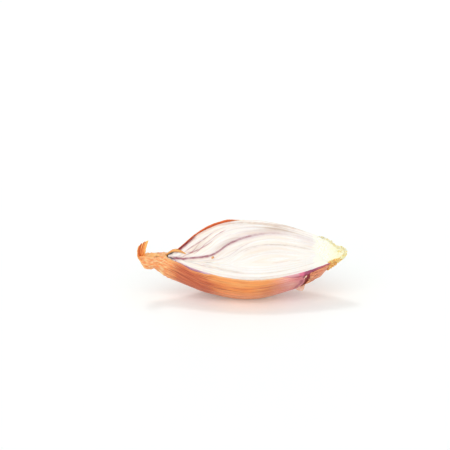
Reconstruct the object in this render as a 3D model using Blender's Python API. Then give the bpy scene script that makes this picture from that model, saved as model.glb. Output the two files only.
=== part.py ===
"""A long shallot cut in half lengthwise, lying on its round back with the cut face up.

The bulb is described in its own cut frame, in millimetres: u runs along the bulb from
the neck (-) to the root (+), v lies across the cut face from the near edge (-) to the
far edge (+), and w points out of the face. Every skin and fleshy scale is one closed
solid, lofted through cross-sections at stations along u. At the end the bulb is tilted
and set down on the flat spot pressed into its back, in metres with +Z up.
"""

import math
from collections import namedtuple

import bmesh
import bpy
from mathutils import Matrix, Vector

# ---------------------------------------------------------------- driving dimensions (mm)
TILT = math.radians(21.0)  # how far the cut face leans towards -Y
PRESS = 0.75  # how deep the resting spot is pressed flat
GAP = 0.3  # air kept between neighbouring pieces
SKIN_WALL = 0.4  # dry outer skin
TUNIC_WALL = 0.35  # thin purple tunic under it
COVER = SKIN_WALL + TUNIC_WALL + 3 * GAP  # what lies between the outside and the flesh
SCALE_WALL = 1.6  # a fleshy scale where the bulb is full
FULL_HALF_WIDTH = 12.0  # scales get thinner where the bulb is narrower than this
THINNEST_WALL = 0.35

# The bulb with its skin: (u, radius), (u, axis offset in v), (u, axis depth under the cut)
RADIUS = [(-46.5, 1.5), (-44, 2.1), (-39.5, 3.4), (-35.4, 4.8), (-29.5, 7.2), (-20.8, 14.0),
          (-12, 18.8), (-4, 21.0), (0, 21.2), (5, 20.9), (11, 19.5), (17, 17.4), (25, 13.3),
          (31.2, 9.4), (34.5, 7.0), (37, 5.0)]
AXIS_V = [(-46.5, -4.6), (-39.5, -4.3), (-29.5, -4.0), (-20.8, -1.3), (-12, 0.1), (0, 0.2),
          (11, -0.2), (25, -0.9), (31.2, -1.2), (37, -2.3)]
AXIS_DEPTH = [(-46.5, 1.6), (-44, 2.5), (-39.5, 3.5), (-35.4, 4.6), (-29.5, 4.9), (-20.8, 2.8),
              (-12, 0.7), (-4, -0.4), (0, -0.6), (11, -1.1), (17, -1.1), (25, -0.4), (31.2, 0.0),
              (37, 0.0)]

# Where each inner layer's far edge runs on the cut face, (u, v) from neck to root
OUTER_SCALE_FAR = [(-29, -3.2), (-24, 2.0), (-18.7, 7.8), (-15.8, 11.6), (-11.6, 15.0),
                   (-6.2, 17.2), (0, 18.1), (8.3, 16.9), (17, 13.9), (25, 9.7), (28.5, 7.3)]
SIDE_SCALE_FAR = [(-29, -5.0), (-25.8, -3.2), (-20.8, 0.5), (-16.6, 4.8), (-13.7, 9.2),
                  (-8.3, 13.6), (0, 15.8), (10.4, 14.6), (17, 12.2), (25, 8.2), (28.5, 5.9)]
MAIN_BULB_FAR = [(-29, -6.6), (-23.5, -5.9), (-17.1, -4.4), (-13.3, -1.3), (-9.6, 3.2),
                 (-5.7, 6.4), (-0.6, 9.2), (3.2, 10.5), (9.6, 11.3), (16, 10.4), (22.3, 8.2),
                 (28.5, 4.6)]
SECOND_SCALE_FAR = [(-26, -8.2), (-22.3, -8.0), (-15, -7.0), (-9.6, -4.8), (-5.8, -0.7),
                    (-3.1, 2.5), (1.2, 5.6), (7.1, 7.4), (15.8, 7.2), (22, 5.4), (28.5, 2.2)]
THIRD_SCALE_FAR = [(-19, -9.0), (-14, -8.8), (-9.6, -7.2), (-2.9, 0.0), (3.3, 3.1), (10, 3.6),
                   (15.8, 3.0), (25.4, 0.4), (28.5, -0.7)]
HEART_FAR = [(-10, -9.2), (-4, -7.0), (5, -2.9), (12, -1.8), (20, -2.0), (28.5, -3.4)]

# Where the pieces begin and end along u
SKIN_ENDS = (-46.8, 17.5)
ROOT_SKIN_ENDS = (19.0, 34.5)
TUNIC_ENDS = (-31.0, 33.6)
FLESH_RIGHT = 27.8
OUTER_SCALE_LEFT, SIDE_LEFT, MAIN_LEFT = -33.6, -26.6, -27.2
SECOND_LEFT, THIRD_LEFT, HEART_LEFT = -24.6, -17.6, -8.6
NECK_CORE_ENDS = (-41.0, -33.9)
ROOT_PLATE_LEFT, ROOT_TIP = 28.1, 39.5
ROOT_PLATE = [(28.1, 0.0), (30, 0.1), (33, 0.4), (35.4, 1.0)]  # (u, inset from the tunic)
ROOT_STUB = [(36.4, 3.6), (38.0, 3.2), (39.1, 2.5), (39.5, 1.4)]  # (u, radius) past the skins

# How far round each piece runs: 0 is the far edge of the cut, 180 degrees the near one
ALL_ROUND = (0.0, math.pi)
ROOT_SKIN_ROUND = (math.radians(8), math.radians(173))  # torn short of the cut on both sides
SIDE_BULB_ROUND = (0.0, math.radians(108))  # it hugs only the far side of the main bulb

# The torn flap that stands up from the end of the dry neck
FLAP_WIDTH, FLAP_HEIGHT, FLAP_CURL = 4.2, 9.4, 1.5
FLAP_SEAT = (-45.1, -4.4, -2.3)
FLAP_ROOT = 0.8  # how far it reaches down into the skin it grows from
FLAP_SIDEWAYS, FLAP_BACK = 0.6, 0.8  # how far its top leans to the root and to the camera
FLAP_TAPER = 0.25  # share of its width lost at the top
FLAP_ROWS, FLAP_COLUMNS = 6, 5

SKIN_STEPS = 24  # facets round a skin
SCALE_STEPS = 14  # facets round a fleshy scale
SKIN_STATION, FLESH_STATION, CORE_STATION = 2.6, 3.4, 2.0  # mm between cross-sections
FULL_PART = (-10.0, 10.0)  # the bulb's lowest point lies between these two u
OPEN_HIGH, OPEN_LOW = 0.2, 0.96  # shares of the radius that a section's middle may rise or sink
HOLLOW_LEAD = 0.4  # a hollow begins this far before the layer that fills it
HOLLOW_RAMP = 0.25  # and opens over this length
BLUNT = 0.12  # width left at a tip, so that no face collapses
SHARP_FROM = math.radians(40)

Section = namedtuple("Section", "far near depth rise top")
# far, near: edges at the section's top; depth: from top to the lowest point; rise: how far
# the widest line lies under the top, as a share of depth; top: w of the section's open side


# ---------------------------------------------------------------- curves
def curve(points, u):
    """Smooth value at u of a curve through (u, value) points, flat past both ends."""
    if u <= points[0][0]:
        return points[0][1]
    if u >= points[-1][0]:
        return points[-1][1]
    i = max(k for k, p in enumerate(points[:-1]) if p[0] <= u)

    def slope(k):
        before, after = points[max(k - 1, 0)], points[min(k + 1, len(points) - 1)]
        return (after[1] - before[1]) / (after[0] - before[0])

    (u0, v0), (u1, v1) = points[i], points[i + 1]
    span = u1 - u0
    t = (u - u0) / span
    return (
        (2 * t**3 - 3 * t**2 + 1) * v0
        + (t**3 - 2 * t**2 + t) * span * slope(i)
        + (3 * t**2 - 2 * t**3) * v1
        + (t**3 - t**2) * span * slope(i + 1)
    )


def stations(left, right, step):
    """Evenly spaced stations from left to right, about one step apart."""
    count = max(2, round((right - left) / step))
    return [left + (right - left) * k / count for k in range(count + 1)]


# ---------------------------------------------------------------- cross-sections
def skin_section(u, inset):
    """The bulb's section at u, taken in by inset, open where the cut passes through it."""
    radius = curve(RADIUS, u) - inset
    middle, under = curve(AXIS_V, u), curve(AXIS_DEPTH, u)
    rise = max(-OPEN_HIGH * radius, min(under, OPEN_LOW * radius))
    half = math.sqrt(radius**2 - rise**2)
    depth = radius + rise
    return Section(middle + half, middle - half, depth, rise / depth, rise - under)


def nested(parent, far, near, wall):
    """A section inside parent, with its own edges and at least wall under it."""
    far = min(far, parent.far - wall)
    near = max(near, parent.near)
    far = max(far, near + BLUNT)
    room = max(parent.far - parent.near, BLUNT)
    depth = (parent.depth - wall) * math.sqrt(min(1.0, (far - near) / room))
    return Section(far, near, max(depth, BLUNT), parent.rise, parent.top)


def inset(section, by):
    """The section taken in by the same amount all round."""
    return nested(section, section.far - by, section.near + by, by)


def flesh_sections(u):
    """Outer and inner section of every fleshy layer at u, by name."""
    outer = skin_section(u, COVER)
    half = (outer.far - outer.near) / 2
    wall = max(THINNEST_WALL, SCALE_WALL * min(1.0, half / FULL_HALF_WIDTH))
    room = nested(outer, curve(OUTER_SCALE_FAR, u), outer.near + wall, wall)
    inside = inset(room, GAP)
    side_far = curve(SIDE_SCALE_FAR, u)
    side_inner = nested(inside, side_far, inside.near, THINNEST_WALL)
    side_core = nested(side_inner, side_inner.far - GAP, side_inner.near, GAP)
    main = nested(inside, curve(MAIN_BULB_FAR, u), inside.near, 2 * THINNEST_WALL)
    main = nested(side_core, main.far, main.near, GAP + THINNEST_WALL)
    side_bed = Section(main.far + GAP, main.near, main.depth + GAP, main.rise, main.top)
    made = {
        "outer_scale": (outer, room),
        "side_scale": (inside, side_inner),
        "side_core": (side_core, side_bed),
    }
    layers = [
        ("main_scale_1", SECOND_SCALE_FAR),
        ("main_scale_2", THIRD_SCALE_FAR),
        ("main_scale_3", HEART_FAR),
    ]
    body = main
    for name, far_points in layers:
        hollow = nested(body, curve(far_points, u), body.near + wall, wall)
        made[name] = (body, hollow)
        body = inset(hollow, GAP)
    made["heart"] = (body, None)
    return made


# ---------------------------------------------------------------- rings of points
def arc(section, steps, ends=ALL_ROUND):
    """(v, w) points round the section, between the two angles in ends."""
    rise = section.rise * section.depth
    radius_w = section.depth - rise
    opening = math.asin(max(-1.0, min(1.0, rise / radius_w)))
    radius_v = (section.far - section.near) / 2 / math.cos(opening)
    middle = (section.far + section.near) / 2
    low, high = (-opening + end / math.pi * (math.pi + 2 * opening) for end in ends)
    points = []
    for k in range(steps + 1):
        angle = low + (high - low) * k / steps
        v = middle + radius_v * math.cos(angle)
        w = section.top - rise - radius_w * math.sin(angle)
        points.append((v, w))
    return points


def level(section, steps):
    """Points straight across the top of a section, where a piece has no hollow yet."""
    far, near = section.far - BLUNT / 4, section.near + BLUNT / 4
    return [(far + (near - far) * k / steps, section.top) for k in range(steps + 1)]


def wall_ring(outer, inner, ends=ALL_ROUND):
    """A closed ring: round the outside and back along the inside."""
    back = arc(inner, SCALE_STEPS, ends) if inner else level(outer, SCALE_STEPS)
    return arc(outer, SCALE_STEPS, ends) + back[::-1]


def place(u, v, w, cover):
    """Cut frame to the world in mm, tilted and never under the piece's own cover."""
    y = v * math.cos(TILT) - w * math.sin(TILT)
    z = v * math.sin(TILT) + w * math.cos(TILT) + LIFT
    return Vector((u, y, max(z, cover)))


def lowest_of_bulb():
    """How far under the cut frame's origin the tilted bulb would reach if not pressed."""
    return max(
        curve(RADIUS, u) + curve(AXIS_DEPTH, u) * math.cos(TILT) - curve(AXIS_V, u) * math.sin(TILT)
        for u in stations(*FULL_PART, 0.5)
    )


LIFT = lowest_of_bulb() - PRESS


# ---------------------------------------------------------------- solids
def material(name, colour, roughness):
    made = bpy.data.materials.new(name)
    made.use_nodes = True
    shader = made.node_tree.nodes["Principled BSDF"]
    shader.inputs["Base Color"].default_value = (*colour, 1)
    shader.inputs["Roughness"].default_value = roughness
    shader.inputs["Metallic"].default_value = 0.0
    made.diffuse_color = (*colour, 1)
    return made


def loft(name, rings, finish):
    """A closed solid through rings of equal length. A cap joins each point to its mirror."""
    mesh = bmesh.new()
    loops = [[mesh.verts.new(p) for p in ring] for ring in rings]
    count = len(loops[0])
    for here, there in zip(loops, loops[1:]):
        for k in range(count):
            after = (k + 1) % count
            mesh.faces.new((here[k], here[after], there[after], there[k]))
    for end in (loops[0], loops[-1]):
        for k in range((count - 1) // 2):
            strip = (end[k], end[k + 1], end[-2 - k], end[-1 - k])
            mesh.faces.new(tuple(dict.fromkeys(strip)))
    bmesh.ops.recalc_face_normals(mesh, faces=mesh.faces)
    return finished(name, mesh, finish)


def finished(name, mesh, finish):
    data = bpy.data.meshes.new(name)
    mesh.to_mesh(data)
    mesh.free()
    data.materials.append(finish)
    data.shade_smooth()
    data.set_sharp_from_angle(angle=SHARP_FROM)
    made = bpy.data.objects.new(name, data)
    bpy.context.scene.collection.objects.link(made)
    return made


def skin(name, ends, cover, wall, step, finish, round_ends=ALL_ROUND):
    """A dry skin: a thin shell round the bulb between two stations."""
    rings = []
    for u in stations(*ends, step):
        outside = arc(skin_section(u, cover), SKIN_STEPS, round_ends)
        inside = arc(skin_section(u, cover + wall), SKIN_STEPS, round_ends)
        ring = [place(u, v, w, cover) for v, w in outside]
        ring += [place(u, v, w, cover + wall) for v, w in inside[::-1]]
        rings.append(ring)
    return loft(name, rings, finish)


def scale(name, left, next_left, finish):
    """A fleshy layer: solid at its tip, then wrapped round the layer that begins at next_left."""
    hollow = next_left - HOLLOW_LEAD
    even = [u for u in stations(left, FLESH_RIGHT, FLESH_STATION) if abs(u - hollow) > 2 * HOLLOW_RAMP]
    rings = []
    for u in sorted(even + [hollow - HOLLOW_RAMP, hollow]):
        outer, inner = flesh_sections(u)[name]
        ring = wall_ring(outer, inner if u >= hollow else None)
        rings.append([place(u, v, w, COVER) for v, w in ring])
    return loft(name, rings, finish)


def crescent(name, finish):
    """One layer of the flat side bulb that hugs the main bulb's far side."""
    rings = []
    for u in stations(SIDE_LEFT, FLESH_RIGHT, FLESH_STATION):
        ring = wall_ring(*flesh_sections(u)[name], SIDE_BULB_ROUND)
        rings.append([place(u, v, w, COVER) for v, w in ring])
    return loft(name, rings, finish)


def solid_ring(u, section):
    return [place(u, v, w, COVER) for v, w in arc(section, SCALE_STEPS)]


def heart(finish):
    """The innermost leaves, one solid spindle."""
    rings = []
    for u in stations(HEART_LEFT, FLESH_RIGHT, FLESH_STATION):
        outer, _ = flesh_sections(u)["heart"]
        rings.append([place(u, v, w, COVER) for v, w in wall_ring(outer, None)])
    return loft("heart", rings, finish)


def neck_core(finish):
    """The dried leaf bases that fill the papery neck."""
    ends = stations(*NECK_CORE_ENDS, CORE_STATION)
    rings = [solid_ring(u, skin_section(u, SKIN_WALL + GAP)) for u in ends]
    return loft("neck_core", rings, finish)


def root_plate(finish):
    """The basal plate that the scales grow from, with the stub of the old root."""
    rings = [solid_ring(u, skin_section(u, COVER + extra)) for u, extra in ROOT_PLATE]
    middle = AXIS_V[-1][1]
    for u, radius in ROOT_STUB:
        rings.append(solid_ring(u, Section(middle + radius, middle - radius, radius, 0.0, 0.0)))
    return loft("root_plate", rings, finish)


def neck_flap(finish):
    """The torn strip of skin that stands up from the neck: a curled upright blade."""
    mesh = bmesh.new()
    rows, columns = FLAP_ROWS, FLAP_COLUMNS
    seat = place(*FLAP_SEAT, 0.0)
    sides = []
    for thick in (0.0, SKIN_WALL):
        grid = []
        for i in range(rows + 1):
            up = i / rows
            line = []
            for j in range(columns + 1):
                across = j / columns - 0.5
                width = FLAP_WIDTH * (1 - FLAP_TAPER * up)
                x = across * width + FLAP_SIDEWAYS * up
                y = FLAP_CURL * (4 * across**2) * (0.4 + 0.6 * up) - FLAP_BACK * up + thick
                z = FLAP_HEIGHT * up - FLAP_ROOT
                line.append(mesh.verts.new(seat + Vector((x, y, z))))
            grid.append(line)
        sides.append(grid)
    front, back = sides
    for i in range(rows):
        for j in range(columns):
            mesh.faces.new((front[i][j], front[i][j + 1], front[i + 1][j + 1], front[i + 1][j]))
            mesh.faces.new((back[i][j], back[i + 1][j], back[i + 1][j + 1], back[i][j + 1]))
    for i in range(rows):
        for j in (0, columns):
            mesh.faces.new((front[i][j], front[i + 1][j], back[i + 1][j], back[i][j]))
    for j in range(columns):
        for i in (0, rows):
            mesh.faces.new((front[i][j], front[i][j + 1], back[i][j + 1], back[i][j]))
    bmesh.ops.recalc_face_normals(mesh, faces=mesh.faces)
    return finished("neck_flap", mesh, finish)


def join_flap(skin_object, finish):
    """Grows the flap out of the outer skin, so that the two are one piece of paper."""
    flap = neck_flap(finish)
    flap.hide_render = True
    flap.display_type = "WIRE"
    union = skin_object.modifiers.new("flap", "BOOLEAN")
    union.operation = "UNION"
    union.object = flap


def set_down(objects):
    """Puts the origin at the middle of the underside of all pieces, and turns mm to metres."""
    corners = [v.co for o in objects for v in o.data.vertices]
    low = [min(c[k] for c in corners) for k in range(3)]
    high = [max(c[k] for c in corners) for k in range(3)]
    middle = Vector(((low[0] + high[0]) / 2, (low[1] + high[1]) / 2, low[2]))
    to_row = Matrix.Scale(0.001, 4) @ Matrix.Translation(-middle)
    for o in objects:
        o.data.transform(to_row)


def main():
    for old in list(bpy.data.objects):
        bpy.data.objects.remove(old)
    dry = material("dry_skin", (0.72, 0.32, 0.10), 0.45)
    tunic = material("purple_tunic", (0.50, 0.16, 0.26), 0.35)
    flesh = material("white_flesh", (0.90, 0.84, 0.78), 0.35)
    pale = material("cream_flesh", (0.93, 0.88, 0.76), 0.35)
    plate = material("root_flesh", (0.90, 0.85, 0.55), 0.6)
    dark = material("dried_neck", (0.30, 0.20, 0.18), 0.6)

    outer_skin = skin("outer_skin", SKIN_ENDS, 0.0, SKIN_WALL, SKIN_STATION, dry)
    join_flap(outer_skin, dry)
    skin("root_end_skin", ROOT_SKIN_ENDS, 0.0, SKIN_WALL, SKIN_STATION, dry, ROOT_SKIN_ROUND)
    skin("purple_tunic", TUNIC_ENDS, SKIN_WALL + GAP, TUNIC_WALL, FLESH_STATION, tunic)

    scale("outer_scale", OUTER_SCALE_LEFT, MAIN_LEFT, flesh)
    crescent("side_scale", flesh)
    crescent("side_core", flesh)
    scale("main_scale_1", MAIN_LEFT, SECOND_LEFT, flesh)
    scale("main_scale_2", SECOND_LEFT, THIRD_LEFT, flesh)
    scale("main_scale_3", THIRD_LEFT, HEART_LEFT, pale)
    heart(pale)
    neck_core(dark)
    root_plate(plate)
    set_down([o for o in bpy.data.objects if o.type == "MESH"])


main()
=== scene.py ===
# %% [markdown]
# A long shallot, cut in half lengthwise, lies on its round back with the cut face up.
# From outside to inside it has a dry orange skin that twists into a papery neck, a thin
# purple tunic, fleshy white scales one inside another, a small side bulb, a pale heart,
# and at the other end the root plate that all the scales grow from.
# This lesson dresses a packed engineering model of it: the solids give the places and
# sizes, and each is covered by a finer piece with a finish of its own.

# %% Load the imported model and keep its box
import math
from collections import namedtuple

import bpy
import numpy as np
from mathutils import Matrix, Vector


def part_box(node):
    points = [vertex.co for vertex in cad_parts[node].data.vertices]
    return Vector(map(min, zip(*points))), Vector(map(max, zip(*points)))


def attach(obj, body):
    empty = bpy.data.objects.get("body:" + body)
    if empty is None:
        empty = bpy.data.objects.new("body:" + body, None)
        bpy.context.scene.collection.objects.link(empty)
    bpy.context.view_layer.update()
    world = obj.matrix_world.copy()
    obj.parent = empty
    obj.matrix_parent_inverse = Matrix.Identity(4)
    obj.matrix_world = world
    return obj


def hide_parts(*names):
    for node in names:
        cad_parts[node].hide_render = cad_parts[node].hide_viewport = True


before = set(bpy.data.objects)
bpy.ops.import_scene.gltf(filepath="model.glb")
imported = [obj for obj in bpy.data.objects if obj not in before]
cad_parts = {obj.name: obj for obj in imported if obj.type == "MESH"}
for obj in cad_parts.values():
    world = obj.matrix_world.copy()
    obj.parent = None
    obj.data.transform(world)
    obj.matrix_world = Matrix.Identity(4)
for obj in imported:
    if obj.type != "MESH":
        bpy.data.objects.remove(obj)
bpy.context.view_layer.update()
print("nodes:", ", ".join(sorted(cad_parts)))

# %% [markdown]
# The camera comes first, because every later choice is judged through it. The half is
# seen from its near side, a little from above, through a long lens that keeps the face
# from bulging. The aim is set beside the bulb, so that it sits right of and under the
# middle of the view.

# %% Camera
MM = 0.001
TILT = math.radians(21.0)  # how far the cut face leans towards the camera
PRESS = 0.75  # mm that the resting spot is pressed flat
CAMERA_RISE = math.radians(15.0)
CAMERA_AWAY = 760.0  # mm
FRAME_WIDTH = 187.2  # mm of the scene across the view, at the bulb
AIM_LEFT, AIM_UP = 10.4, 10.2  # mm from the middle of the cut face to the middle of the view

scene = bpy.context.scene
camera = bpy.data.objects.new("camera", bpy.data.cameras.new("camera"))
scene.collection.objects.link(camera)
scene.camera = camera
camera.data.sensor_width = 36.0
camera.data.lens = 36.0 * CAMERA_AWAY / FRAME_WIDTH
camera.data.clip_start = 0.01
scene.view_settings.view_transform = "Standard"
print("lens, mm:", round(camera.data.lens))

# %% [markdown]
# The bulb is drawn in its own cut frame, in millimetres: u runs along it from the neck
# to the root, v across the cut face from the near edge to the far edge, and w out of the
# face. A few points give each outline, and a smooth curve joins them, so that any
# fineness of mesh can be read from the same shape.

# %% The bulb's outline
RADIUS = [(-46.5, 2.5), (-44, 3.1), (-42, 3.4), (-39.5, 3.6), (-35.4, 4.8), (-29.5, 7.2), (-20.8, 14.0),
          (-12, 18.8), (-4, 21.0), (0, 21.2), (5, 20.9), (11, 19.5), (17, 17.4), (25, 13.3),
          (31.2, 9.4), (34.5, 7.0), (37, 5.0)]
AXIS_V = [(-46.5, -4.6), (-39.5, -4.3), (-29.5, -4.0), (-20.8, -1.3), (-12, 0.1), (0, 0.2),
          (11, -0.2), (25, -0.9), (31.2, -1.2), (37, -2.3)]
AXIS_DEPTH = [(-46.5, 2.5), (-44, 2.8), (-42, 3.0), (-39.5, 3.2), (-35.4, 4.6), (-29.5, 4.9), (-20.8, 2.8),
              (-12, 0.7), (-4, -0.4), (0, -0.6), (11, -1.1), (17, -1.1), (25, -0.4), (31.2, 0.0),
              (37, 0.0)]
SKIN_LEFT, SKIN_RIGHT, ROOT_TIP = -46.8, 17.5, 39.5


def curve(points, x):
    """Smooth value at x of a curve through (x, value) points, flat past both ends."""
    px, py = np.array(points, float).T
    slope = ((np.r_[py[1:], py[-1]] - np.r_[py[0], py[:-1]])
             / (np.r_[px[1:], px[-1]] - np.r_[px[0], px[:-1]]))
    x = np.clip(x, px[0], px[-1])
    i = np.clip(np.searchsorted(px, x, side="right") - 1, 0, len(px) - 2)
    span = px[i + 1] - px[i]
    t = (x - px[i]) / span
    rise = 3 * t**2 - 2 * t**3
    return ((1 - rise) * py[i] + rise * py[i + 1]
            + (t**3 - 2 * t**2 + t) * span * slope[i] + (t**3 - t**2) * span * slope[i + 1])


print("widest, mm:", 2 * round(float(curve(RADIUS, 0.0)), 1))

# %% [markdown]
# A cross-section is most of a circle, cut open by the face. Near the neck the circle's
# middle sinks under the cut, so the dry skin closes over into a tube. Every layer is the
# same section taken in a little, which keeps the layers nested without a single boolean.

# %% Cross-sections
Section = namedtuple("Section", "far near depth rise top")


def section(u, inset):
    """The bulb's section at u, taken in by inset mm."""
    radius = np.maximum(curve(RADIUS, u) - inset, 0.25)
    middle, under = curve(AXIS_V, u), curve(AXIS_DEPTH, u)
    rise = np.maximum(-0.2 * radius, np.minimum(under, 0.96 * radius))
    half = np.sqrt(radius**2 - rise**2)
    depth = radius + rise
    return Section(middle + half, middle - half, depth, rise / depth, rise - under)


def around(cut, t):
    """(v, w) round a section; t is 0 at the far edge and 1 at the near one."""
    rise = cut.rise * cut.depth
    radius_w = cut.depth - rise
    opening = np.arcsin(np.clip(rise / radius_w, -1, 1))
    radius_v = (cut.far - cut.near) / 2 / np.cos(opening)
    angle = -opening + t * (math.pi + 2 * opening)
    return (cut.far + cut.near) / 2 + radius_v * np.cos(angle), cut.top - rise - radius_w * np.sin(angle)


def lean(v, w):
    """(y, z) of a point of the cut frame once the bulb leans towards the camera."""
    return v * math.cos(TILT) - w * math.sin(TILT), v * math.sin(TILT) + w * math.cos(TILT)


rings = np.linspace(-10, 10, 41)
LIFT = float((curve(RADIUS, rings) + curve(AXIS_DEPTH, rings) * math.cos(TILT)
              - curve(AXIS_V, rings) * math.sin(TILT)).max()) - PRESS
print("cut face above the floor, mm:", round(LIFT, 2))

# %% [markdown]
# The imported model's origin is the middle of its underside. The root's tip and the far
# rim of the skin are known in both frames, so comparing them gives the shift exactly,
# and no piece has to be fitted by eye.

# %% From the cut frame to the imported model's frame
MID_U = ROOT_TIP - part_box("root_plate")[1][0] / MM
stations, turns = np.meshgrid(np.linspace(SKIN_LEFT, SKIN_RIGHT, 26), np.linspace(0, 1, 25))
farthest = lean(*around(section(stations, 0.0), turns))[0].max()
MID_Y = float(farthest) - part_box("outer_skin")[1][1] / MM


def place(u, v, w, cover=0.0):
    """Cut frame in mm to the scene in metres, never under the piece's own cover."""
    y, z = lean(v, w)
    return np.stack([u - MID_U, y - MID_Y, np.maximum(z + LIFT, cover)], -1) * MM


face_middle = Vector(place(0.0, 0.0, 0.0))
up = Vector((0, math.sin(CAMERA_RISE), math.cos(CAMERA_RISE)))
back = Vector((0, -math.cos(CAMERA_RISE), math.sin(CAMERA_RISE)))
aim = face_middle + Vector((-AIM_LEFT * MM, 0, 0)) + up * AIM_UP * MM
camera.location = aim + back * CAMERA_AWAY * MM
camera.rotation_euler = (math.pi / 2 - CAMERA_RISE, 0, 0)
print("shift, mm:", round(MID_U, 2), round(MID_Y, 2))

# %% [markdown]
# Nothing that grew is even. One small noise function, with a table of seeded random
# heights and smooth steps between them, supplies every wave, crease and ragged edge
# below. It works on whole arrays, so even the finest mesh takes a moment.

# %% Noise and soft steps
def noise(x, y, seed):
    """Smooth lumps between -1 and 1, about one to a unit."""
    table = np.random.default_rng(seed).uniform(-1, 1, (61, 61))
    x, y = np.broadcast_arrays(np.asarray(x, float), np.asarray(y, float))
    i, j = np.floor(x).astype(int), np.floor(y).astype(int)
    fx, fy = x - i, y - j
    sx, sy = fx * fx * (3 - 2 * fx), fy * fy * (3 - 2 * fy)
    low = table[i % 61, j % 61] * (1 - sx) + table[(i + 1) % 61, j % 61] * sx
    high = table[i % 61, (j + 1) % 61] * (1 - sx) + table[(i + 1) % 61, (j + 1) % 61] * sx
    return low * (1 - sy) + high * sy


def wavy(x, *waves):
    """The sum of waves along x, each given as (height in mm, lumps to a unit, seed)."""
    return sum(height * noise(x * rate, 0.5, seed) for height, rate, seed in waves)


def step(low, high, x):
    """0 under low, 1 over high, smooth between; low may be the larger one."""
    t = np.clip((x - low) / (high - low), 0, 1)
    return t * t * (3 - 2 * t)


print("noise at a corner:", round(float(noise(0.5, 0.5, 1)), 3))

# %% [markdown]
# All the meshes are grids of points, so one helper turns a table of points and faces
# into an object. It carries numbers along with each point, such as the distance from a
# cut edge, which the finishes read later. It also turns a mesh right side out by its
# volume, a quick test that never fails on a closed body.

# %% From points to pieces
def piece(name, points, faces, finish, slot, stands_for=(), **marks):
    """A smooth closed mesh that rides on the root, with a number per point for each mark."""
    points = np.asarray(points, float).reshape(-1, 3)
    mesh = bpy.data.meshes.new(name)
    mesh.from_pydata(points.tolist(), [], faces)
    mesh.calc_loop_triangles()
    corners = np.empty(len(mesh.loop_triangles) * 3, np.int32)
    mesh.loop_triangles.foreach_get("vertices", corners)
    tri = points[corners.reshape(-1, 3)]
    if np.einsum("ij,ij->i", tri[:, 0], np.cross(tri[:, 1], tri[:, 2])).sum() < 0:
        mesh.flip_normals()
    for mark, values in marks.items():
        values = np.asarray(values, float)
        if values.size == len(points):
            mesh.attributes.new(mark, "FLOAT", "POINT").data.foreach_set("value", values.ravel())
        else:
            mesh.attributes.new(mark, "FLOAT_VECTOR", "POINT").data.foreach_set("vector", values.ravel())
    mesh.materials.append(finish)
    mesh.shade_smooth()
    mesh.set_sharp_from_angle(angle=math.radians(50))
    made = bpy.data.objects.new(name, mesh)
    scene.collection.objects.link(made)
    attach(made, "root")
    if stands_for:
        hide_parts(*stands_for)
    print(f"{name}: {len(corners) // 3} triangles")
    return made


def grid_faces(first, rows, columns):
    """Quads of a rows by columns grid whose points start at index first."""
    k = first + np.arange(rows * columns).reshape(rows, columns)
    return np.stack([k[:-1, :-1], k[:-1, 1:], k[1:, 1:], k[1:, :-1]], -1).reshape(-1, 4).tolist()


def sheet_faces(rows, columns):
    """Faces of a thin closed sheet: an outer grid, then an inner one, joined at the rim."""
    count = rows * columns
    outer, inner = grid_faces(0, rows, columns), grid_faces(count, rows, columns)
    k = np.arange(count).reshape(rows, columns)
    edge = np.concatenate([k[0, :-1], k[:-1, -1], k[-1, :0:-1], k[:0:-1, 0]])
    after = np.roll(edge, -1)
    rim_faces = np.stack([edge, edge + count, after + count, after], -1).tolist()
    return outer + [f[::-1] for f in inner] + rim_faces


def tube_faces(rows, columns):
    """Faces of a closed body through rings of points, with a flat cap at each end."""
    k = np.arange(rows * columns).reshape(rows, columns)
    right = np.roll(k, -1, axis=1)
    sides = np.stack([k[:-1], right[:-1], right[1:], k[1:]], -1).reshape(-1, 4).tolist()
    return sides + [k[0].tolist()[::-1], k[-1].tolist()]


print("faces of a tube of 4 rings of 6 points:", len(tube_faces(4, 6)))

# %% [markdown]
# A finish is a graph of nodes. These helpers keep the graphs short to read: they open a
# material with its shader, read the marks that a mesh carries, turn them into soft masks
# and noise, and lay one tint over another as strongly as a mask says.

# %% Helpers for finishes
def colour(tint):
    """A (red, green, blue) of 0-255 screen values, turned into light."""
    screen = [c / 255 for c in tint]
    return tuple(c / 12.92 if c <= 0.04045 else ((c + 0.055) / 1.055) ** 2.4 for c in screen) + (1.0,)


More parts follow.
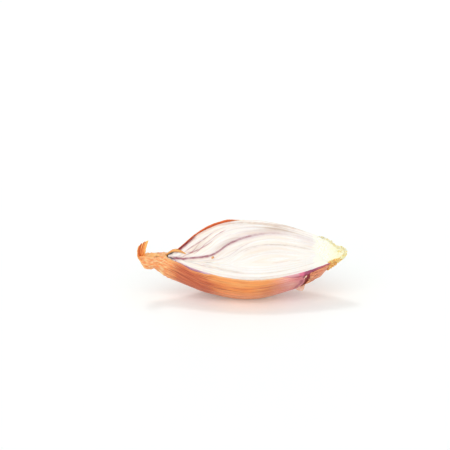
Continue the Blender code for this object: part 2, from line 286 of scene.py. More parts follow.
class Finish:
    """A node material under construction; its shade is the colour so far."""

    def __init__(self, name, **sockets):
        self.material = bpy.data.materials.new(name)
        self.material.use_nodes = True
        self.tree = self.material.node_tree
        self.shader = self.tree.nodes["Principled BSDF"]
        self.where = self.shade = None
        for socket, value in sockets.items():
            self.shader.inputs[socket.replace("_", " ")].default_value = value

    def node(self, kind, inputs, **settings):
        """A new node; each of the inputs is linked to a socket or set to a value."""
        made = self.tree.nodes.new(kind)
        for key, value in settings.items():
            setattr(made, key, value)
        for key, value in inputs.items():
            if isinstance(value, bpy.types.NodeSocket):
                self.tree.links.new(value, made.inputs[key])
            else:
                made.inputs[key].default_value = value
        return made

    def mark(self, name):
        """The number, or for the grain the place, that the mesh carries under this name."""
        made = self.node("ShaderNodeAttribute", {}, attribute_name=name)
        return made.outputs["Vector" if name == "grain" else "Fac"]

    def number(self, operation, a, b):
        return self.node("ShaderNodeMath", {0: a, 1: b}, operation=operation).outputs[0]

    def times(self, first, *others):
        for other in others:
            first = self.number("MULTIPLY", first, other)
        return first

    def between(self, value, low, high, to_low=0.0, to_high=1.0):
        """A soft mask: to_low where the value is low, to_high where it is high."""
        ends = {"Value": value, "From Min": low, "From Max": high, "To Min": to_low, "To Max": to_high}
        return self.node("ShaderNodeMapRange", ends, interpolation_type="SMOOTHSTEP").outputs["Result"]

    def grain(self, lengthwise, scale, detail=4.0, rough=0.55):
        """Noise in the mesh's own frame; under 1, lengthwise draws it out along the bulb."""
        if self.where is None:
            self.where = self.mark("grain")
        spread = self.node("ShaderNodeMapping", {"Vector": self.where, "Scale": (lengthwise, 1.0, 1.0)})
        inputs = {"Vector": spread.outputs[0], "Scale": scale, "Detail": detail, "Roughness": rough}
        return self.node("ShaderNodeTexNoise", inputs).outputs["Fac"]

    def ramp(self, value, *stops):
        """Tints along a value, given as (value, tint) stops."""
        made = self.node("ShaderNodeValToRGB", {0: value})
        elements = made.color_ramp.elements
        while len(elements) < len(stops):
            elements.new(0.5)
        for element, (position, tint) in zip(elements, stops):
            element.position = position
            element.color = colour(tint)
        return made.outputs["Color"]

    def tones(self, value, dark, middle, light):
        """The usual spread of three tints over a noise."""
        return self.ramp(value, (0.38, dark), (0.5, middle), (0.62, light))

    def mix(self, weight, under, over):
        over = colour(over) if isinstance(over, tuple) else over
        return self.node("ShaderNodeMix", {0: weight, 6: under, 7: over}, data_type="RGBA").outputs[2]

    def lay(self, weight, tint):
        """Lays a tint over the shade so far."""
        self.shade = self.mix(weight, self.shade, tint)

    def bump(self, height, distance, strength=1.0, under=None):
        inputs = {"Height": height, "Distance": distance * MM, "Strength": strength}
        if under is not None:
            inputs["Normal"] = under
        return self.node("ShaderNodeBump", inputs).outputs["Normal"]

    def done(self, normal=None, gloss=()):
        """The finished material; gloss is a noise and its roughness in hollows and on tops."""
        roughness = self.between(gloss[0], 0.3, 0.7, *gloss[1:]) if gloss else None
        for socket, source in (("Base Color", self.shade), ("Normal", normal), ("Roughness", roughness)):
            if source is not None:
                self.tree.links.new(source, self.shader.inputs[socket])
        print("finish:", self.material.name, "with", len(self.tree.nodes), "nodes")
        return self.material


print("white as light:", round(colour((250, 250, 250))[0], 3))

# %% [markdown]
# The dry skin is paper: brown-orange, lined along its length by veins that run together
# at both ends, streaked deep red towards the neck, pink and stained towards the root,
# where the outermost layer has worn off, and pale and spotted in the neck itself. Painted
# light makes it lighter and pinker low on the near side, as if lit from the pale floor,
# and painted shade dulls it a little below the near edge towards the root. Its rims are
# pale golden, partly the paper's own thin edges and partly a painted highlight, and
# painted light warms the inner face of its far edge. The veins are drawn in a frame that
# the mesh carries, along the bulb and round it, so they follow the bulb instead of
# cutting across it. They could be an image wrapped round the bulb, but noise stretched
# along the veins stays sharp at any distance.

# %% Finish: dry outer skin
def redden_towards_neck(f, along, exact, drop, fine):
    """A red flush, dark red streaks and fine hairs, all calmer just under the cut."""
    beside_cut = f.times(f.between(drop, 5.0, 1.5), f.between(exact, -22.0, -14.0, 0.0, 0.85))
    calm = f.number("SUBTRACT", 1.0, beside_cut)
    f.lay(f.times(f.between(along, -35.0, -28.0), f.between(along, -7.0, -20.0), calm, 0.7), (206, 96, 64))
    dark = f.between(f.grain(0.03, 1.5, 4.0, 0.7), 0.51, 0.42, 0.0, 0.85)
    streaked = f.between(along, -5.0, -18.0, 0.4, 1.0)
    f.lay(f.times(f.between(along, -34.5, -31.0), streaked, calm, dark), (156, 58, 40))
    hairs = f.times(f.between(along, -34.5, -32.0), f.between(along, -12.0, -20.0))
    f.lay(f.times(hairs, f.between(fine, 0.5, 0.42, 0.0, 0.75)), (170, 62, 44))


def stain_and_paint_shade_towards_root(f, along, exact, drop, broad, fine):
    """Pink, then a purple stain, painted shade a little down the side and a dark band at the tear."""
    rose = f.ramp(fine, (0.36, (212, 108, 112)), (0.47, (240, 150, 144)), (0.6, (253, 198, 190)))
    f.lay(f.times(f.between(along, 6.0, 16.5), f.between(broad, 0.30, 0.5, 0.6, 1.0)), rose)
    stained = f.times(f.between(exact, 17.0, 20.4, 0.0, 0.95), f.between(drop, 1.5, 4.5, 0.4, 1.0))
    f.lay(stained, f.tones(fine, (178, 84, 104), (228, 138, 146), (250, 190, 190)))
    # painted shade: duller and darker a little below the near edge towards the root, where less light falls
    painted_flank_shade = f.times(f.between(drop, 2.0, 5.0, 0.0, 0.38), f.between(drop, 12.0, 6.5, 0.4, 1.0))
    f.lay(f.times(painted_flank_shade, f.between(along, 1.0, 9.0)), (176, 108, 92))
    rim = f.mark("rim")
    band = f.times(f.between(rim, 0.4, 0.9), f.between(rim, 2.4, 1.4), f.between(drop, 2.5, 4.5, 0.1, 0.6))
    f.lay(f.times(band, f.between(exact, 17.0, 19.0)), (138, 50, 88))


def pale_rims_and_painted_light(f, exact):
    """Pale golden rims, partly own colour and partly painted highlight, and painted light inside the far
    edge.
    """
    edge = f.ramp(f.between(exact, -40.0, 20.0), (0.0, (255, 196, 124)), (0.12, (232, 136, 88)),
                  (0.3, (255, 182, 112)), (0.96, (255, 196, 144)), (0.985, (250, 172, 146)),
                  (1.0, (200, 112, 124)))
    f.lay(f.between(f.mark("rim"), 0.9, 0.1, 0.0, 0.75), edge)
    # painted light: the inner face of the far edge, which lies in shade, is warmed as if light came through
    # the paper
    lit = f.times(f.between(f.mark("rise"), 1.5, 0.4), f.between(exact, -3.0, -9.0, 0.0, 0.85),
                  f.between(exact, -35.0, -32.0), f.mark("inner"))
    f.lay(lit, (238, 112, 58))


def dry_skin_finish():
    f = Finish("dry_skin_paper", Subsurface_Weight=0.12, Subsurface_Scale=0.001,
               Subsurface_Radius=(1.0, 0.45, 0.2), Specular_IOR_Level=0.42)
    broad = f.grain(0.05, 0.55, 3.0, 0.5)
    fine = f.grain(0.035, 2.6, 4.0, 0.6)
    raised = f.grain(0.02, 6.5, 3.0, 0.6)
    exact, drop = f.mark("along"), f.mark("drop")
    wander = f.number("SUBTRACT", f.grain(0.12, 0.9, 3.0, 0.6), 0.5)
    along = f.number("ADD", exact, f.times(wander, 14.0))  # so that no colour ends on a ring
    f.shade = f.ramp(broad, (0.30, (228, 116, 58)), (0.43, (250, 146, 72)), (0.56, (248, 162, 84)),
                     (0.70, (250, 186, 116)))
    f.lay(f.between(fine, 0.48, 0.32, 0.0, 0.85), (204, 92, 52))
    f.lay(f.between(fine, 0.54, 0.68, 0.0, 0.8), (255, 204, 144))
    # painted light: lighter and pinker low on the near side, standing for light thrown up from the pale
    # floor
    f.lay(f.between(drop, 6.5, 13.0, 0.0, 0.7), (248, 178, 136))
    f.lay(f.times(f.between(drop, 8.0, 1.0), f.between(along, -26.0, -10.0, 0.15, 0.75)), (246, 162, 92))
    redden_towards_neck(f, along, exact, drop, fine)
    stain_and_paint_shade_towards_root(f, along, exact, drop, broad, fine)
    pale = f.tones(fine, (246, 158, 94), (255, 210, 146), (255, 236, 190))
    spotted = f.mix(f.between(f.grain(0.5, 0.9, 3.0, 0.6), 0.57, 0.45, 0.0, 0.9), pale, (246, 134, 70))
    f.lay(f.between(along, -29.5, -36.5), spotted)
    f.lay(f.between(raised, 0.46, 0.34, 0.0, 0.6), (204, 100, 56))
    pale_rims_and_painted_light(f, exact)
    normal = f.bump(raised, 0.12, 0.6, f.bump(fine, 0.25, 0.5))
    return f.done(normal, (fine, 0.5, 0.32))


dry_skin = dry_skin_finish()

# %% [markdown]
# Every skin swells and sinks in the same long soft waves, so no layer pokes through the
# next. The dry skin adds raised veins and, in the neck, deep pleats and small creases.
# These are real height in the mesh, not only bump, because they show in the outline.

# %% Relief of the dry skin
def long_waves(u, t):
    """Height in mm of the waves that all the layers share."""
    return 0.22 * noise(u * 0.07 + 5, t * 9, 11) + 0.10 * noise(u * 0.16, t * 22, 12)


def pleats(u, t):
    """Height in mm of the folds and creases of the papery neck."""
    twist = (u + 47) * 0.035
    folds = np.abs(((t * 5.5 + twist + 0.25 * noise(u * 0.25, t * 3, 21)) % 1.0) - 0.5) * 2
    deep = 0.9 * (folds - 0.5) + 0.5 * noise(u * 0.55, t * 11, 22) + 0.3 * noise(u * 1.2, t * 22, 23)
    dent = 1.2 * np.exp(-(((u + 38.5) / 2.2) ** 2) - ((t - 0.62) / 0.2) ** 2)
    return deep * step(-29.0, -38.0, u) * np.minimum(1.0, curve(RADIUS, u) / 4.5) - dent


def outer_relief(u, t):
    fine = 0.055 * noise(u * 0.05, t * 75, 13) + 0.03 * noise(u * 0.10, t * 150, 14)
    curled = 0.4 * step(16.5, 20.0, u) * step(0.4, 0.7, t)  # the torn edge stands off the bulb
    return long_waves(u, t) + fine + pleats(u, t) + curled


print("deepest pleat, mm:", round(float(pleats(stations, turns).min()), 2))

# %% [markdown]
# A skin is one thin closed sheet. It could be a lathe shape with a solidify modifier,
# but it has four ragged edges, so its grid is laid out between them: each edge is a
# curve, and the grid is stretched to reach it. Each point carries how far along the bulb
# it lies, how far round from the cut's near and far edge, and how far from a rim.

# %% A skin between four edges
SKIN_LENGTH, SKIN_GIRTH = 60.0, 62.0  # mm, about the size of the dry skin laid flat


def skin_surface(u, t, inset, relief):
    """(u, v, w) of a point of a skin, raised by relief mm out of its section."""
    cut = section(u, inset)
    v, w = around(cut, t)
    opening = np.arcsin(np.clip(cut.rise * cut.depth / (cut.depth * (1 - cut.rise)), -1, 1))
    angle = -opening + t * (math.pi + 2 * opening)
    return u, v + relief * np.cos(angle), w - relief * np.sin(angle)


def skin_sheet(edges, rows, columns, inset, wall, relief):
    """Outer and inner grids of a skin between its four edges, and where each point lies."""
    left, right, far, near = edges
    s, q = np.meshgrid(np.linspace(0, 1, rows), np.linspace(0, 1, columns), indexing="ij")
    u = left(q) + (right(q) - left(q)) * s
    girth = curve(RADIUS, u) * math.pi
    t = (far(u) / girth) + (1 - (far(u) + near(u)) / girth) * q
    height = relief(u, t)
    outer = place(*skin_surface(u, t, inset, height), inset)
    inner = place(*skin_surface(u, t, inset + wall, height), inset + wall)
    rim = np.minimum(np.minimum(s, 1 - s) * SKIN_LENGTH, np.minimum(q, 1 - q) * girth)
    grain = np.stack([u, (t - 0.5) * SKIN_GIRTH, np.zeros_like(u)], -1)
    marks = {"along": u, "drop": (1 - t) * girth, "rise": t * girth, "rim": rim, "grain": grain}
    return outer, inner, marks


def skin_piece(name, sheet, finish, slot, stands_for):
    """The closed piece between a sheet's two grids, whose inner points carry a mark."""
    outer, inner, marks = sheet
    rows, columns = outer.shape[:2]
    both = {mark: np.concatenate([m.reshape(rows * columns, -1)] * 2) for mark, m in marks.items()}
    both["inner"] = np.repeat([0.0, 1.0], rows * columns)
    points = np.concatenate([outer.reshape(-1, 3), inner.reshape(-1, 3)])
    return piece(name, points, sheet_faces(rows, columns), finish, slot, stands_for, **both)


print("faces in a sheet of 250 by 190:", len(sheet_faces(250, 190)))

# %% [markdown]
# The outer skin runs from the neck's torn mouth to the tear near the root. From the neck
# to the middle its far edge stands a millimetre above the cut, as dry paper springs back
# when the flesh shrinks. Its near edge stops short of the cut beside the neck and the
# root, which bares the tunic there.

# %% Outer skin
PAPER = 0.2  # mm, thickness of the dry skin
OUTER_TEAR = [(0, 18.7), (0.7, 18.0), (0.76, 18.1), (0.8, 19.0), (0.87, 20.6), (0.905, 21.9),
              (0.95, 22.5), (1, 21.4)]  # u of the torn edge, by the way round from far to near


def outer_left(q):
    """The neck's torn mouth, cut slantwise: longest on top, shortest underneath."""
    return -46.5 + 4.6 * np.sin(math.pi * q) ** 3 + wavy(q, (0.6, 14, 31), (0.5, 37, 32))


def outer_right(q):
    return curve(OUTER_TEAR, q) + wavy(q, (0.4, 16, 33), (0.4, 45, 34))


def neck_closed(u):
    """mm by which both edges pass the cut where the skin closes into the neck's tube."""
    return 0.9 * step(-33.5, -35.5, u)


def outer_far(u):
    """mm that the far edge stops under the cut; negative stands above it."""
    proud = 1.05 * step(-33, -28, u) * step(-4, -10, u)
    return 0.05 - proud - neck_closed(u) + wavy(u, (0.18, 0.8, 35), (0.1, 2.3, 36)) + 0.45 * step(-8, 0, u)


def outer_near(u):
    """mm that the near edge stops under the cut."""
    bared = 0.5 * step(-27.5, -24, u) * step(-15, -19, u) + 1.6 * step(12, 19.5, u)
    return 0.1 - neck_closed(u) + bared + wavy(u, (0.16, 0.7, 37), (0.08, 2.6, 38))


outer_edges = (outer_left, outer_right, outer_far, outer_near)
outer_sheet = skin_sheet(outer_edges, 250, 190, 0.0, PAPER, outer_relief)
skin_piece("outer_skin_paper", outer_sheet, dry_skin, "dry_skin", ["outer_skin"])

# %% [markdown]
# Under the dry skin lies the tunic, thin as film and stained pink to purple. It is pale
# where it only shows through and violet beside the cut near the root; in the tear it is
# painted maroon to brown, a painted shadow, and it has one bright pink glint where it
# catches the light.

# %% Finish: purple tunic
def tunic_finish():
    f = Finish("purple_tunic_film", Subsurface_Weight=0.15, Subsurface_Scale=0.001,
               Subsurface_Radius=(0.9, 0.4, 0.5), Specular_IOR_Level=0.12)
    fine = f.grain(0.03, 3.0, 4.0, 0.6)
    along, drop = f.mark("along"), f.mark("drop")
    f.shade = f.ramp(fine, (0.36, (126, 62, 88)), (0.46, (180, 118, 146)), (0.56, (216, 172, 188)),
                     (0.66, (244, 224, 230)))
    f.lay(f.between(along, 4.0, 12.0, 0.0, 0.8), (242, 168, 176))
    violet = f.tones(fine, (112, 26, 74), (166, 72, 108), (216, 140, 160))
    # painted shadow: maroon, then brown deepest in the gap, where the tear lies in shade; the violet is the
    # tunic's own
    maroon = f.tones(fine, (92, 8, 26), (136, 26, 40), (172, 66, 74))
    violet_and_painted_shadow = f.mix(f.between(drop, 1.2, 2.6), violet, maroon)
    violet_and_painted_shadow = f.mix(f.between(drop, 3.8, 6.0), violet_and_painted_shadow, (130, 40, 8))
    f.lay(f.between(along, 20.8, 22.6, 0.0, 0.95), violet_and_painted_shadow)
    reddish = f.tones(fine, (160, 64, 96), (212, 116, 130), (244, 168, 164))
    f.lay(f.between(along, 25.0, 31.0, 0.0, 0.8), reddish)
    glint = f.times(f.between(along, 19.6, 20.6), f.between(along, 22.6, 21.8), f.between(drop, 3.0, 1.6),
                    f.between(fine, 0.36, 0.52), 0.85)
    f.lay(glint, (240, 112, 150))
    return f.done(f.bump(fine, 0.12, 0.5), (fine, 0.55, 0.38))


tunic_film = tunic_finish()

# %% [markdown]
# The tunic shows as a thin line beside the cut, and fully where the dry skin is torn
# near the root. The same sheet maker serves, with only the long waves for relief, and
# with edges that leave the far side of the root end bare.

# %% Purple tunic
TUNIC_INSET, TUNIC_WALL = 0.27, 0.1  # mm


def soft_waves(u, t):
    """The long waves, tucked in under the near side of the root end."""
    return long_waves(u, t) - 1.9 * step(28.5, 33.5, u) * step(1.0, 0.8, t)


def tunic_left(q):
    return -31.0 + wavy(q, (0.5, 20, 41))


def tunic_right(q):
    return 31.3 + 1.7 * step(0.88, 0.95, q) + wavy(q, (0.3, 24, 42))


def tunic_far(u):
    return 0.9 + 8.0 * step(17.0, 25.0, u)


def tunic_near(u):
    hidden = 0.7 * step(-16, -11, u) * step(14, 9, u)
    return -0.05 + hidden + wavy(u, (0.12, 0.9, 43))


tunic_edges = (tunic_left, tunic_right, tunic_far, tunic_near)
tunic_sheet = skin_sheet(tunic_edges, 170, 120, TUNIC_INSET, TUNIC_WALL, soft_waves)
skin_piece("purple_tunic_film", tunic_sheet, tunic_film, "purple_tunic", ["purple_tunic"])

# %% [markdown]
# Loose bits of paper are thin closed sheets laid along a few points, so one helper makes
# them all: it takes the middle line, the widths along it, the way it spreads and its
# thickness. It can curl, have ribs along it, and end in a torn edge.

# %% Leaves of paper
def leaf(name, line, widths, spread, wall, finish, columns=18, rows=60, ribs=0.0, curl=0.0, torn=0.0):
    """A thin closed sheet along a line of (u, v, w), spreading both ways from it."""
    s = np.linspace(0, 1, rows)
    knots = np.linspace(0, 1, len(line))
    middle = np.stack([curve(list(zip(knots, part)), s) for part in zip(*line)], -1)
    half = curve(widths, s) / 2 + wavy(s, (0.12, 9, 61)) * (s > 0.02)
    side = np.array(spread, float) / np.linalg.norm(spread)
    ahead = np.gradient(middle, axis=0)
    ahead /= np.linalg.norm(ahead, axis=1, keepdims=True)
    out = np.cross(ahead, side)
    out /= np.linalg.norm(out, axis=1, keepdims=True)
    c = np.linspace(-1, 1, columns)
    lift = curl * (1 - c**2) + wavy(c, (ribs, 5.5, 62)) + 0.15 * noise(c[None, :] * 1.5, s[:, None] * 5, 63)
    end = torn * (0.55 * c + wavy(c, (0.3, 3.5, 64), (0.14, 9, 65))) * s[:, None] ** 4
    grid = middle[:, None] + side * (half[:, None] * c[None, :])[..., None]
    grid = grid + out[:, None] * lift[..., None] + ahead[:, None] * end[..., None]
    under = grid - out[:, None] * wall
    both = np.concatenate([grid.reshape(-1, 3), under.reshape(-1, 3)])
    along = np.tile(np.repeat(s, columns), 2)
    across = np.tile(c, 2 * rows)
    grain = np.stack([along * 10, across * 5, np.full_like(along, 3.7 * len(line))], -1)
    return piece(name, place(*both.T), sheet_faces(rows, columns), finish, "dry_skin",
                 grain=grain, along=along, edge=1 - np.abs(across))


def flap_finish():
    f = Finish("dry_flap_paper", Subsurface_Weight=0.3, Subsurface_Scale=0.0005,
               Subsurface_Radius=(1.0, 0.7, 0.4), Specular_IOR_Level=0.4)
    ribs = f.grain(0.06, 1.1, 3.0, 0.6)
    f.shade = f.ramp(ribs, (0.42, (190, 84, 36)), (0.5, (246, 156, 80)), (0.58, (255, 198, 112)))
    f.lay(f.between(f.mark("edge"), 0.35, 0.0, 0.0, 0.7), (255, 190, 108))
    return f.done(f.bump(ribs, 0.12, 0.6), (ribs, 0.5, 0.36))


flap_paper = flap_finish()

# %% [markdown]
# The neck is where the half was pulled free. At its very end a ribbed flap stands up,
# torn along its top, and a strip of paper is folded over the tip of the bulb from the
# far side. A fleck of skin is stuck to the face near the neck, where the knife left it.

# %% Paper at the neck
leaf("neck_flap", [(-44.6, -4.6, -1.4), (-45.0, -5.0, 1.2), (-44.8, -5.2, 4.0), (-43.9, -4.9, 7.0)],
     [(0, 3.6), (0.4, 3.5), (0.75, 3.3), (1, 3.3)], (1.0, 0.0, -0.1), 0.16, flap_paper,
     columns=34, ribs=0.14, curl=0.4, torn=2.2)
leaf("neck_fold", [(-34.8, -3.6, 0.1), (-33.2, -1.9, 0.36), (-31.4, -0.9, 0.38), (-29.2, -1.4, 0.36),
                   (-26.6, -3.2, 0.25)],
     [(0, 1.4), (0.3, 2.3), (0.6, 2.0), (0.9, 0.9), (1, 0.2)], (0.3, 1.0, -0.12), 0.14, flap_paper,
     ribs=0.05, curl=0.10)
leaf("skin_fleck", [(-16.1, -5.9, 0.1), (-15.5, -5.6, 0.22), (-14.9, -5.8, 0.12)],
     [(0, 0.4), (0.5, 1.5), (1, 0.3)], (0.2, 1.0, 0.0), 0.08, flap_paper, columns=6, rows=10)

# %% [markdown]
# Inside the neck's tube the inner leaves have dried to one strand. It shows only through
# the torn mouth, so a closed body of shrinking rings is enough, with lines along it.

# %% Dried core of the neck
STRAND_START, STRAND_LENGTH, STRAND_INSET = -41.0, 6.3, 1.1


def dried_core():
    """A strand of shrinking rings in the middle of the neck's tube."""
    s, t = np.meshgrid(np.linspace(0, 1, 40), np.linspace(0, 1, 33)[:-1], indexing="ij")
    u = STRAND_START + STRAND_LENGTH * s
    cut = section(u, STRAND_INSET)
    v, w = around(cut, t)
    middle_v = (cut.far + cut.near) / 2
    middle_w = cut.top - cut.rise * cut.depth
    thin = np.maximum(0.25, 0.75 * (4 * s * (1 - s)) ** 0.25)
    v, w = middle_v + (v - middle_v) * thin, middle_w + (w - middle_w) * thin - 0.3
    f = Finish("dried_strand", Specular_IOR_Level=0.3, Roughness=0.6)
    strands = f.grain(0.1, 1.2)
    f.shade = f.ramp(strands, (0.4, (150, 100, 70)), (0.6, (214, 178, 150)))
    f.done(f.bump(strands, 0.1))
    return piece("dried_core", place(u, v, w), tube_faces(*u.shape), f.material, "dried_neck", ["neck_core"],
                 grain=np.stack([u, v, w], -1))


dried_core()

# %% [markdown]
# Near the root the outer skin is torn away, and a last cap of brown skin, older and
# rougher, is left round the root end. It is creased and flaky: golden on the raised
# flakes, darker in a noise of creases, which is painted shade, and tan where it meets
# the root plate.

# %% Finish: root-end skin
def cap_finish():
    f = Finish("root_end_paper", Subsurface_Weight=0.1, Subsurface_Scale=0.001,
               Subsurface_Radius=(1.0, 0.45, 0.25), Specular_IOR_Level=0.4)
    along = f.mark("along")
    fine = f.grain(0.06, 1.9, 5.0, 0.62)
    broad = f.grain(0.25, 0.45, 3.0, 0.5)
    creases = f.grain(0.6, 1.0, 5.0, 0.6)
    f.shade = f.ramp(fine, (0.36, (136, 54, 36)), (0.45, (216, 120, 84)), (0.54, (248, 160, 122)),
                     (0.64, (255, 208, 178)))
    f.lay(f.between(broad, 0.46, 0.62, 0.0, 0.55), (222, 138, 84))
    f.lay(f.times(f.between(creases, 0.52, 0.60), f.between(along, 27.5, 23.5)), (244, 180, 108))
    # painted shade: dark patches of the crease noise, standing for shade in the crumples
    f.lay(f.times(f.between(creases, 0.50, 0.40), f.between(along, 31.0, 25.0, 0.2, 0.9)), (146, 64, 34))
    f.lay(f.between(along, 31.0, 34.0, 0.0, 0.6), (206, 140, 66))
    normal = f.bump(fine, 0.3, 0.7, f.bump(broad, 0.5, 0.4))
    return f.done(normal, (fine, 0.55, 0.38))


cap_paper = cap_finish()

# %% [markdown]
# The cap is a skin sheet like the others. Its torn left edge stands off the bulb and
# throws a dark shadow into the tear, and its near edge stops short of the cut, which
# bares a strip of purple tunic.

# %% Root-end skin
CAP_TEAR = [(0, 20.4), (0.68, 20.6), (0.75, 21.6), (0.81, 22.8), (0.89, 23.9), (0.93, 24.4), (1, 24.7)]
CAP_NEAR = [(21, 2.2), (23, 1.6), (27, 1.1), (32, 0.6), (34, 0.4)]


def cap_left(q):
    return curve(CAP_TEAR, q) + wavy(q, (0.4, 17, 71), (0.4, 44, 72))


def cap_right(q):
    return 32.6 - 0.9 * step(0.95, 0.75, q) + wavy(q, (0.5, 15, 73), (0.4, 40, 74))


def cap_far(u):
    return 2.0 - 1.6 * step(25.0, 28.0, u) + wavy(u, (0.3, 0.9, 76))


def cap_near(u):
    return curve(CAP_NEAR, u) + wavy(u, (0.2, 1.3, 75))


def cap_relief(u, t):
    lifted = 0.55 * step(24.5, 21.2, u) * (0.6 + wavy(t, (0.6, 12, 77)))
    crumple = 0.20 * noise(u * 0.8, t * 20, 78) + 0.14 * noise(u * 1.7, t * 45, 79)
    return soft_waves(u, t) + lifted + crumple


cap_sheet = skin_sheet((cap_left, cap_right, cap_far, cap_near), 110, 170, 0.0, PAPER, cap_relief)
skin_piece("root_end_paper", cap_sheet, cap_paper, "dry_skin", ["root_end_skin"])

# %% [markdown]
# Two scraps of thin pale paper cling to the tear: a small fleck across it and a larger
# one that hangs from its lower end. They are leaves like those at the neck, in paler
# paper that lets more light through.

# %% Scraps at the tear
def on_skin(u, drop, lift):
    """A point of the cut frame, lift mm above the skin and drop mm under its near edge."""
    v, w = around(section(u, -lift), 1 - drop / (curve(RADIUS, u) * math.pi))
    return (u, float(v), float(w))


def scrap_finish():
    f = Finish("pale_scrap", Subsurface_Weight=0.3, Subsurface_Scale=0.001, Roughness=0.5)
    f.shade = f.ramp(f.grain(0.2, 1.5), (0.4, (234, 180, 152)), (0.6, (254, 226, 204)))
    return f.done()


pale_paper = scrap_finish()
leaf("tear_fleck", [on_skin(22.0, 3.4, 0.3), on_skin(22.6, 2.6, 0.45), on_skin(23.2, 1.8, 0.3)],
     [(0, 0.15), (0.5, 0.5), (1, 0.15)], (0.8, -0.1, -0.6), 0.1, pale_paper, columns=8, rows=14)
leaf("tear_scrap", [(20.4, -9.5, -11.6), (20.9, -10.2, -12.5), (21.7, -10.8, -13.4)],
     [(0, 5.2), (0.4, 4.0), (0.8, 1.8), (1, 0.4)], (1.0, 0.25, 0.15), 0.1, pale_paper,
     columns=14, rows=20, ribs=0.1)

# %% [markdown]
# The scales are closed bodies, each wrapped round the next. On the cut face only their
# rims show, so that is where the mesh is fine. Every outline below is where a layer's
# far edge runs on the face; its near edge keeps an even distance from the bulb's edge,
# and at the neck each layer closes to a point.

# %% Where the scales run
SEAM, FAINT_SEAM = 0.04, 0.015  # mm between neighbours, outside and towards the heart
FLESH_INSET = 0.45
SCALE_WALL, FULL_HALF_WIDTH, THINNEST_WALL, BLUNT = 1.6, 12.0, 0.35, 0.04
OUTER_SCALE_FAR = [(-34, -3.9), (-29, -3.0), (-24, 2.0), (-18.7, 7.8), (-15.8, 11.6), (-11.6, 15.0),
                   (-6.2, 17.2), (0, 18.1), (8.3, 16.9), (17, 13.9), (25, 9.7), (28.5, 7.3)]
SIDE_SCALE_FAR = [(-34, -4.4), (-29, -4.6), (-25.8, -3.2), (-20.8, 0.5), (-16.6, 4.8), (-13.7, 9.2),
                  (-8.3, 13.6), (0, 15.8), (10.4, 14.6), (17, 12.2), (25, 8.2), (28.5, 5.9)]
MAIN_BULB_FAR = [(-34, -5.4), (-29, -6.3), (-23.5, -5.7), (-17.1, -4.4), (-13.3, -1.3), (-9.6, 3.2),
                 (-5.7, 6.4), (-0.6, 9.2), (3.2, 10.5), (9.6, 11.3), (16, 10.4), (22.3, 8.2), (28.5, 4.6)]
SECOND_SCALE_FAR = [(-26, -8.2), (-22.3, -8.0), (-15, -7.0), (-9.6, -4.8), (-5.8, -0.7),
                    (-3.1, 2.5), (1.2, 5.6), (7.1, 7.4), (15.8, 7.2), (22, 5.4), (28.5, 2.2)]
THIRD_SCALE_FAR = [(-19, -9.0), (-14, -8.8), (-9.6, -7.2), (-2.9, 0.0), (3.3, 3.1), (10, 3.6),
                   (15.8, 3.0), (25.4, 0.4), (28.5, -0.7)]
HEART_FAR = [(-10, -9.2), (-4, -7.0), (5, -2.9), (12, -1.8), (20, -2.0), (28.5, -3.4)]
LEFT_TIP = {"outer_scale": -34.2, "side_scale": -31.0, "side_core": -30.0, "main_scale_1": -30.6,
            "main_scale_2": -25.4, "main_scale_3": -18.4, "heart": -9.6}
FLESH_END, ROOT_EDGE = 28.05, 28.1  # u where the mesh ends, and where the root plate shows
lengths = sorted(round(FLESH_END - tip, 1) for tip in LEFT_TIP.values())
print("lengths of the layers, mm:", *lengths)

# %% [markdown]
# A layer's hollow is a section inside its outer one, and the next layer fills it. The
# hollow opens from a point at the neck, fast at first, as the tip of an onion scale
# does, and at the root all the scales run into the plate along one slanting edge.

# %% One section inside another
OPENING = 5.0  # mm over which a layer opens from its tip


def root_edge(v):
    """Where the white scales give way to the root plate, slanting back at the near side."""
    slant = 0.5 * np.maximum(0.0, -(v + 3.0))
    return ROOT_EDGE + slant + wavy(v, (0.45, 0.7, 51), (0.4, 1.9, 52))


def nested(parent, u, far, near, wall, left=None, hinge=0.5):
    """A section inside parent with its own edges; it opens from a point at left, if given."""
    far = np.minimum(far, parent.far - wall)
    near = np.maximum(near, parent.near)
    if left is not None:
        opened = np.sqrt(step(left, left + OPENING, u))
        tip = near + hinge * np.maximum(far - near, 0.0)
        far, near = tip + (far - tip) * opened, tip + (near - tip) * opened
    far = np.maximum(far, near + BLUNT)
    share = np.minimum(1.0, (far - near) / np.maximum(parent.far - parent.near, BLUNT))
    depth = np.maximum((parent.depth - wall) * np.sqrt(share), BLUNT)
    return Section(far, near, depth, parent.rise, parent.top)


print("root edge at the middle and the near side, mm:", *(round(float(root_edge(v)), 1) for v in (0, -9)))

# %% [markdown]
# The layers are worked out from the outside in. The outer scale leaves room for two
# bulbs: a small side bulb, one scale round a core, along the far edge, and the main bulb
# with three scales round its heart.

# %% Fleshy layers
THICK_FIRST = 1.6  # how many times thicker the main bulb's first scale is beside the near edge


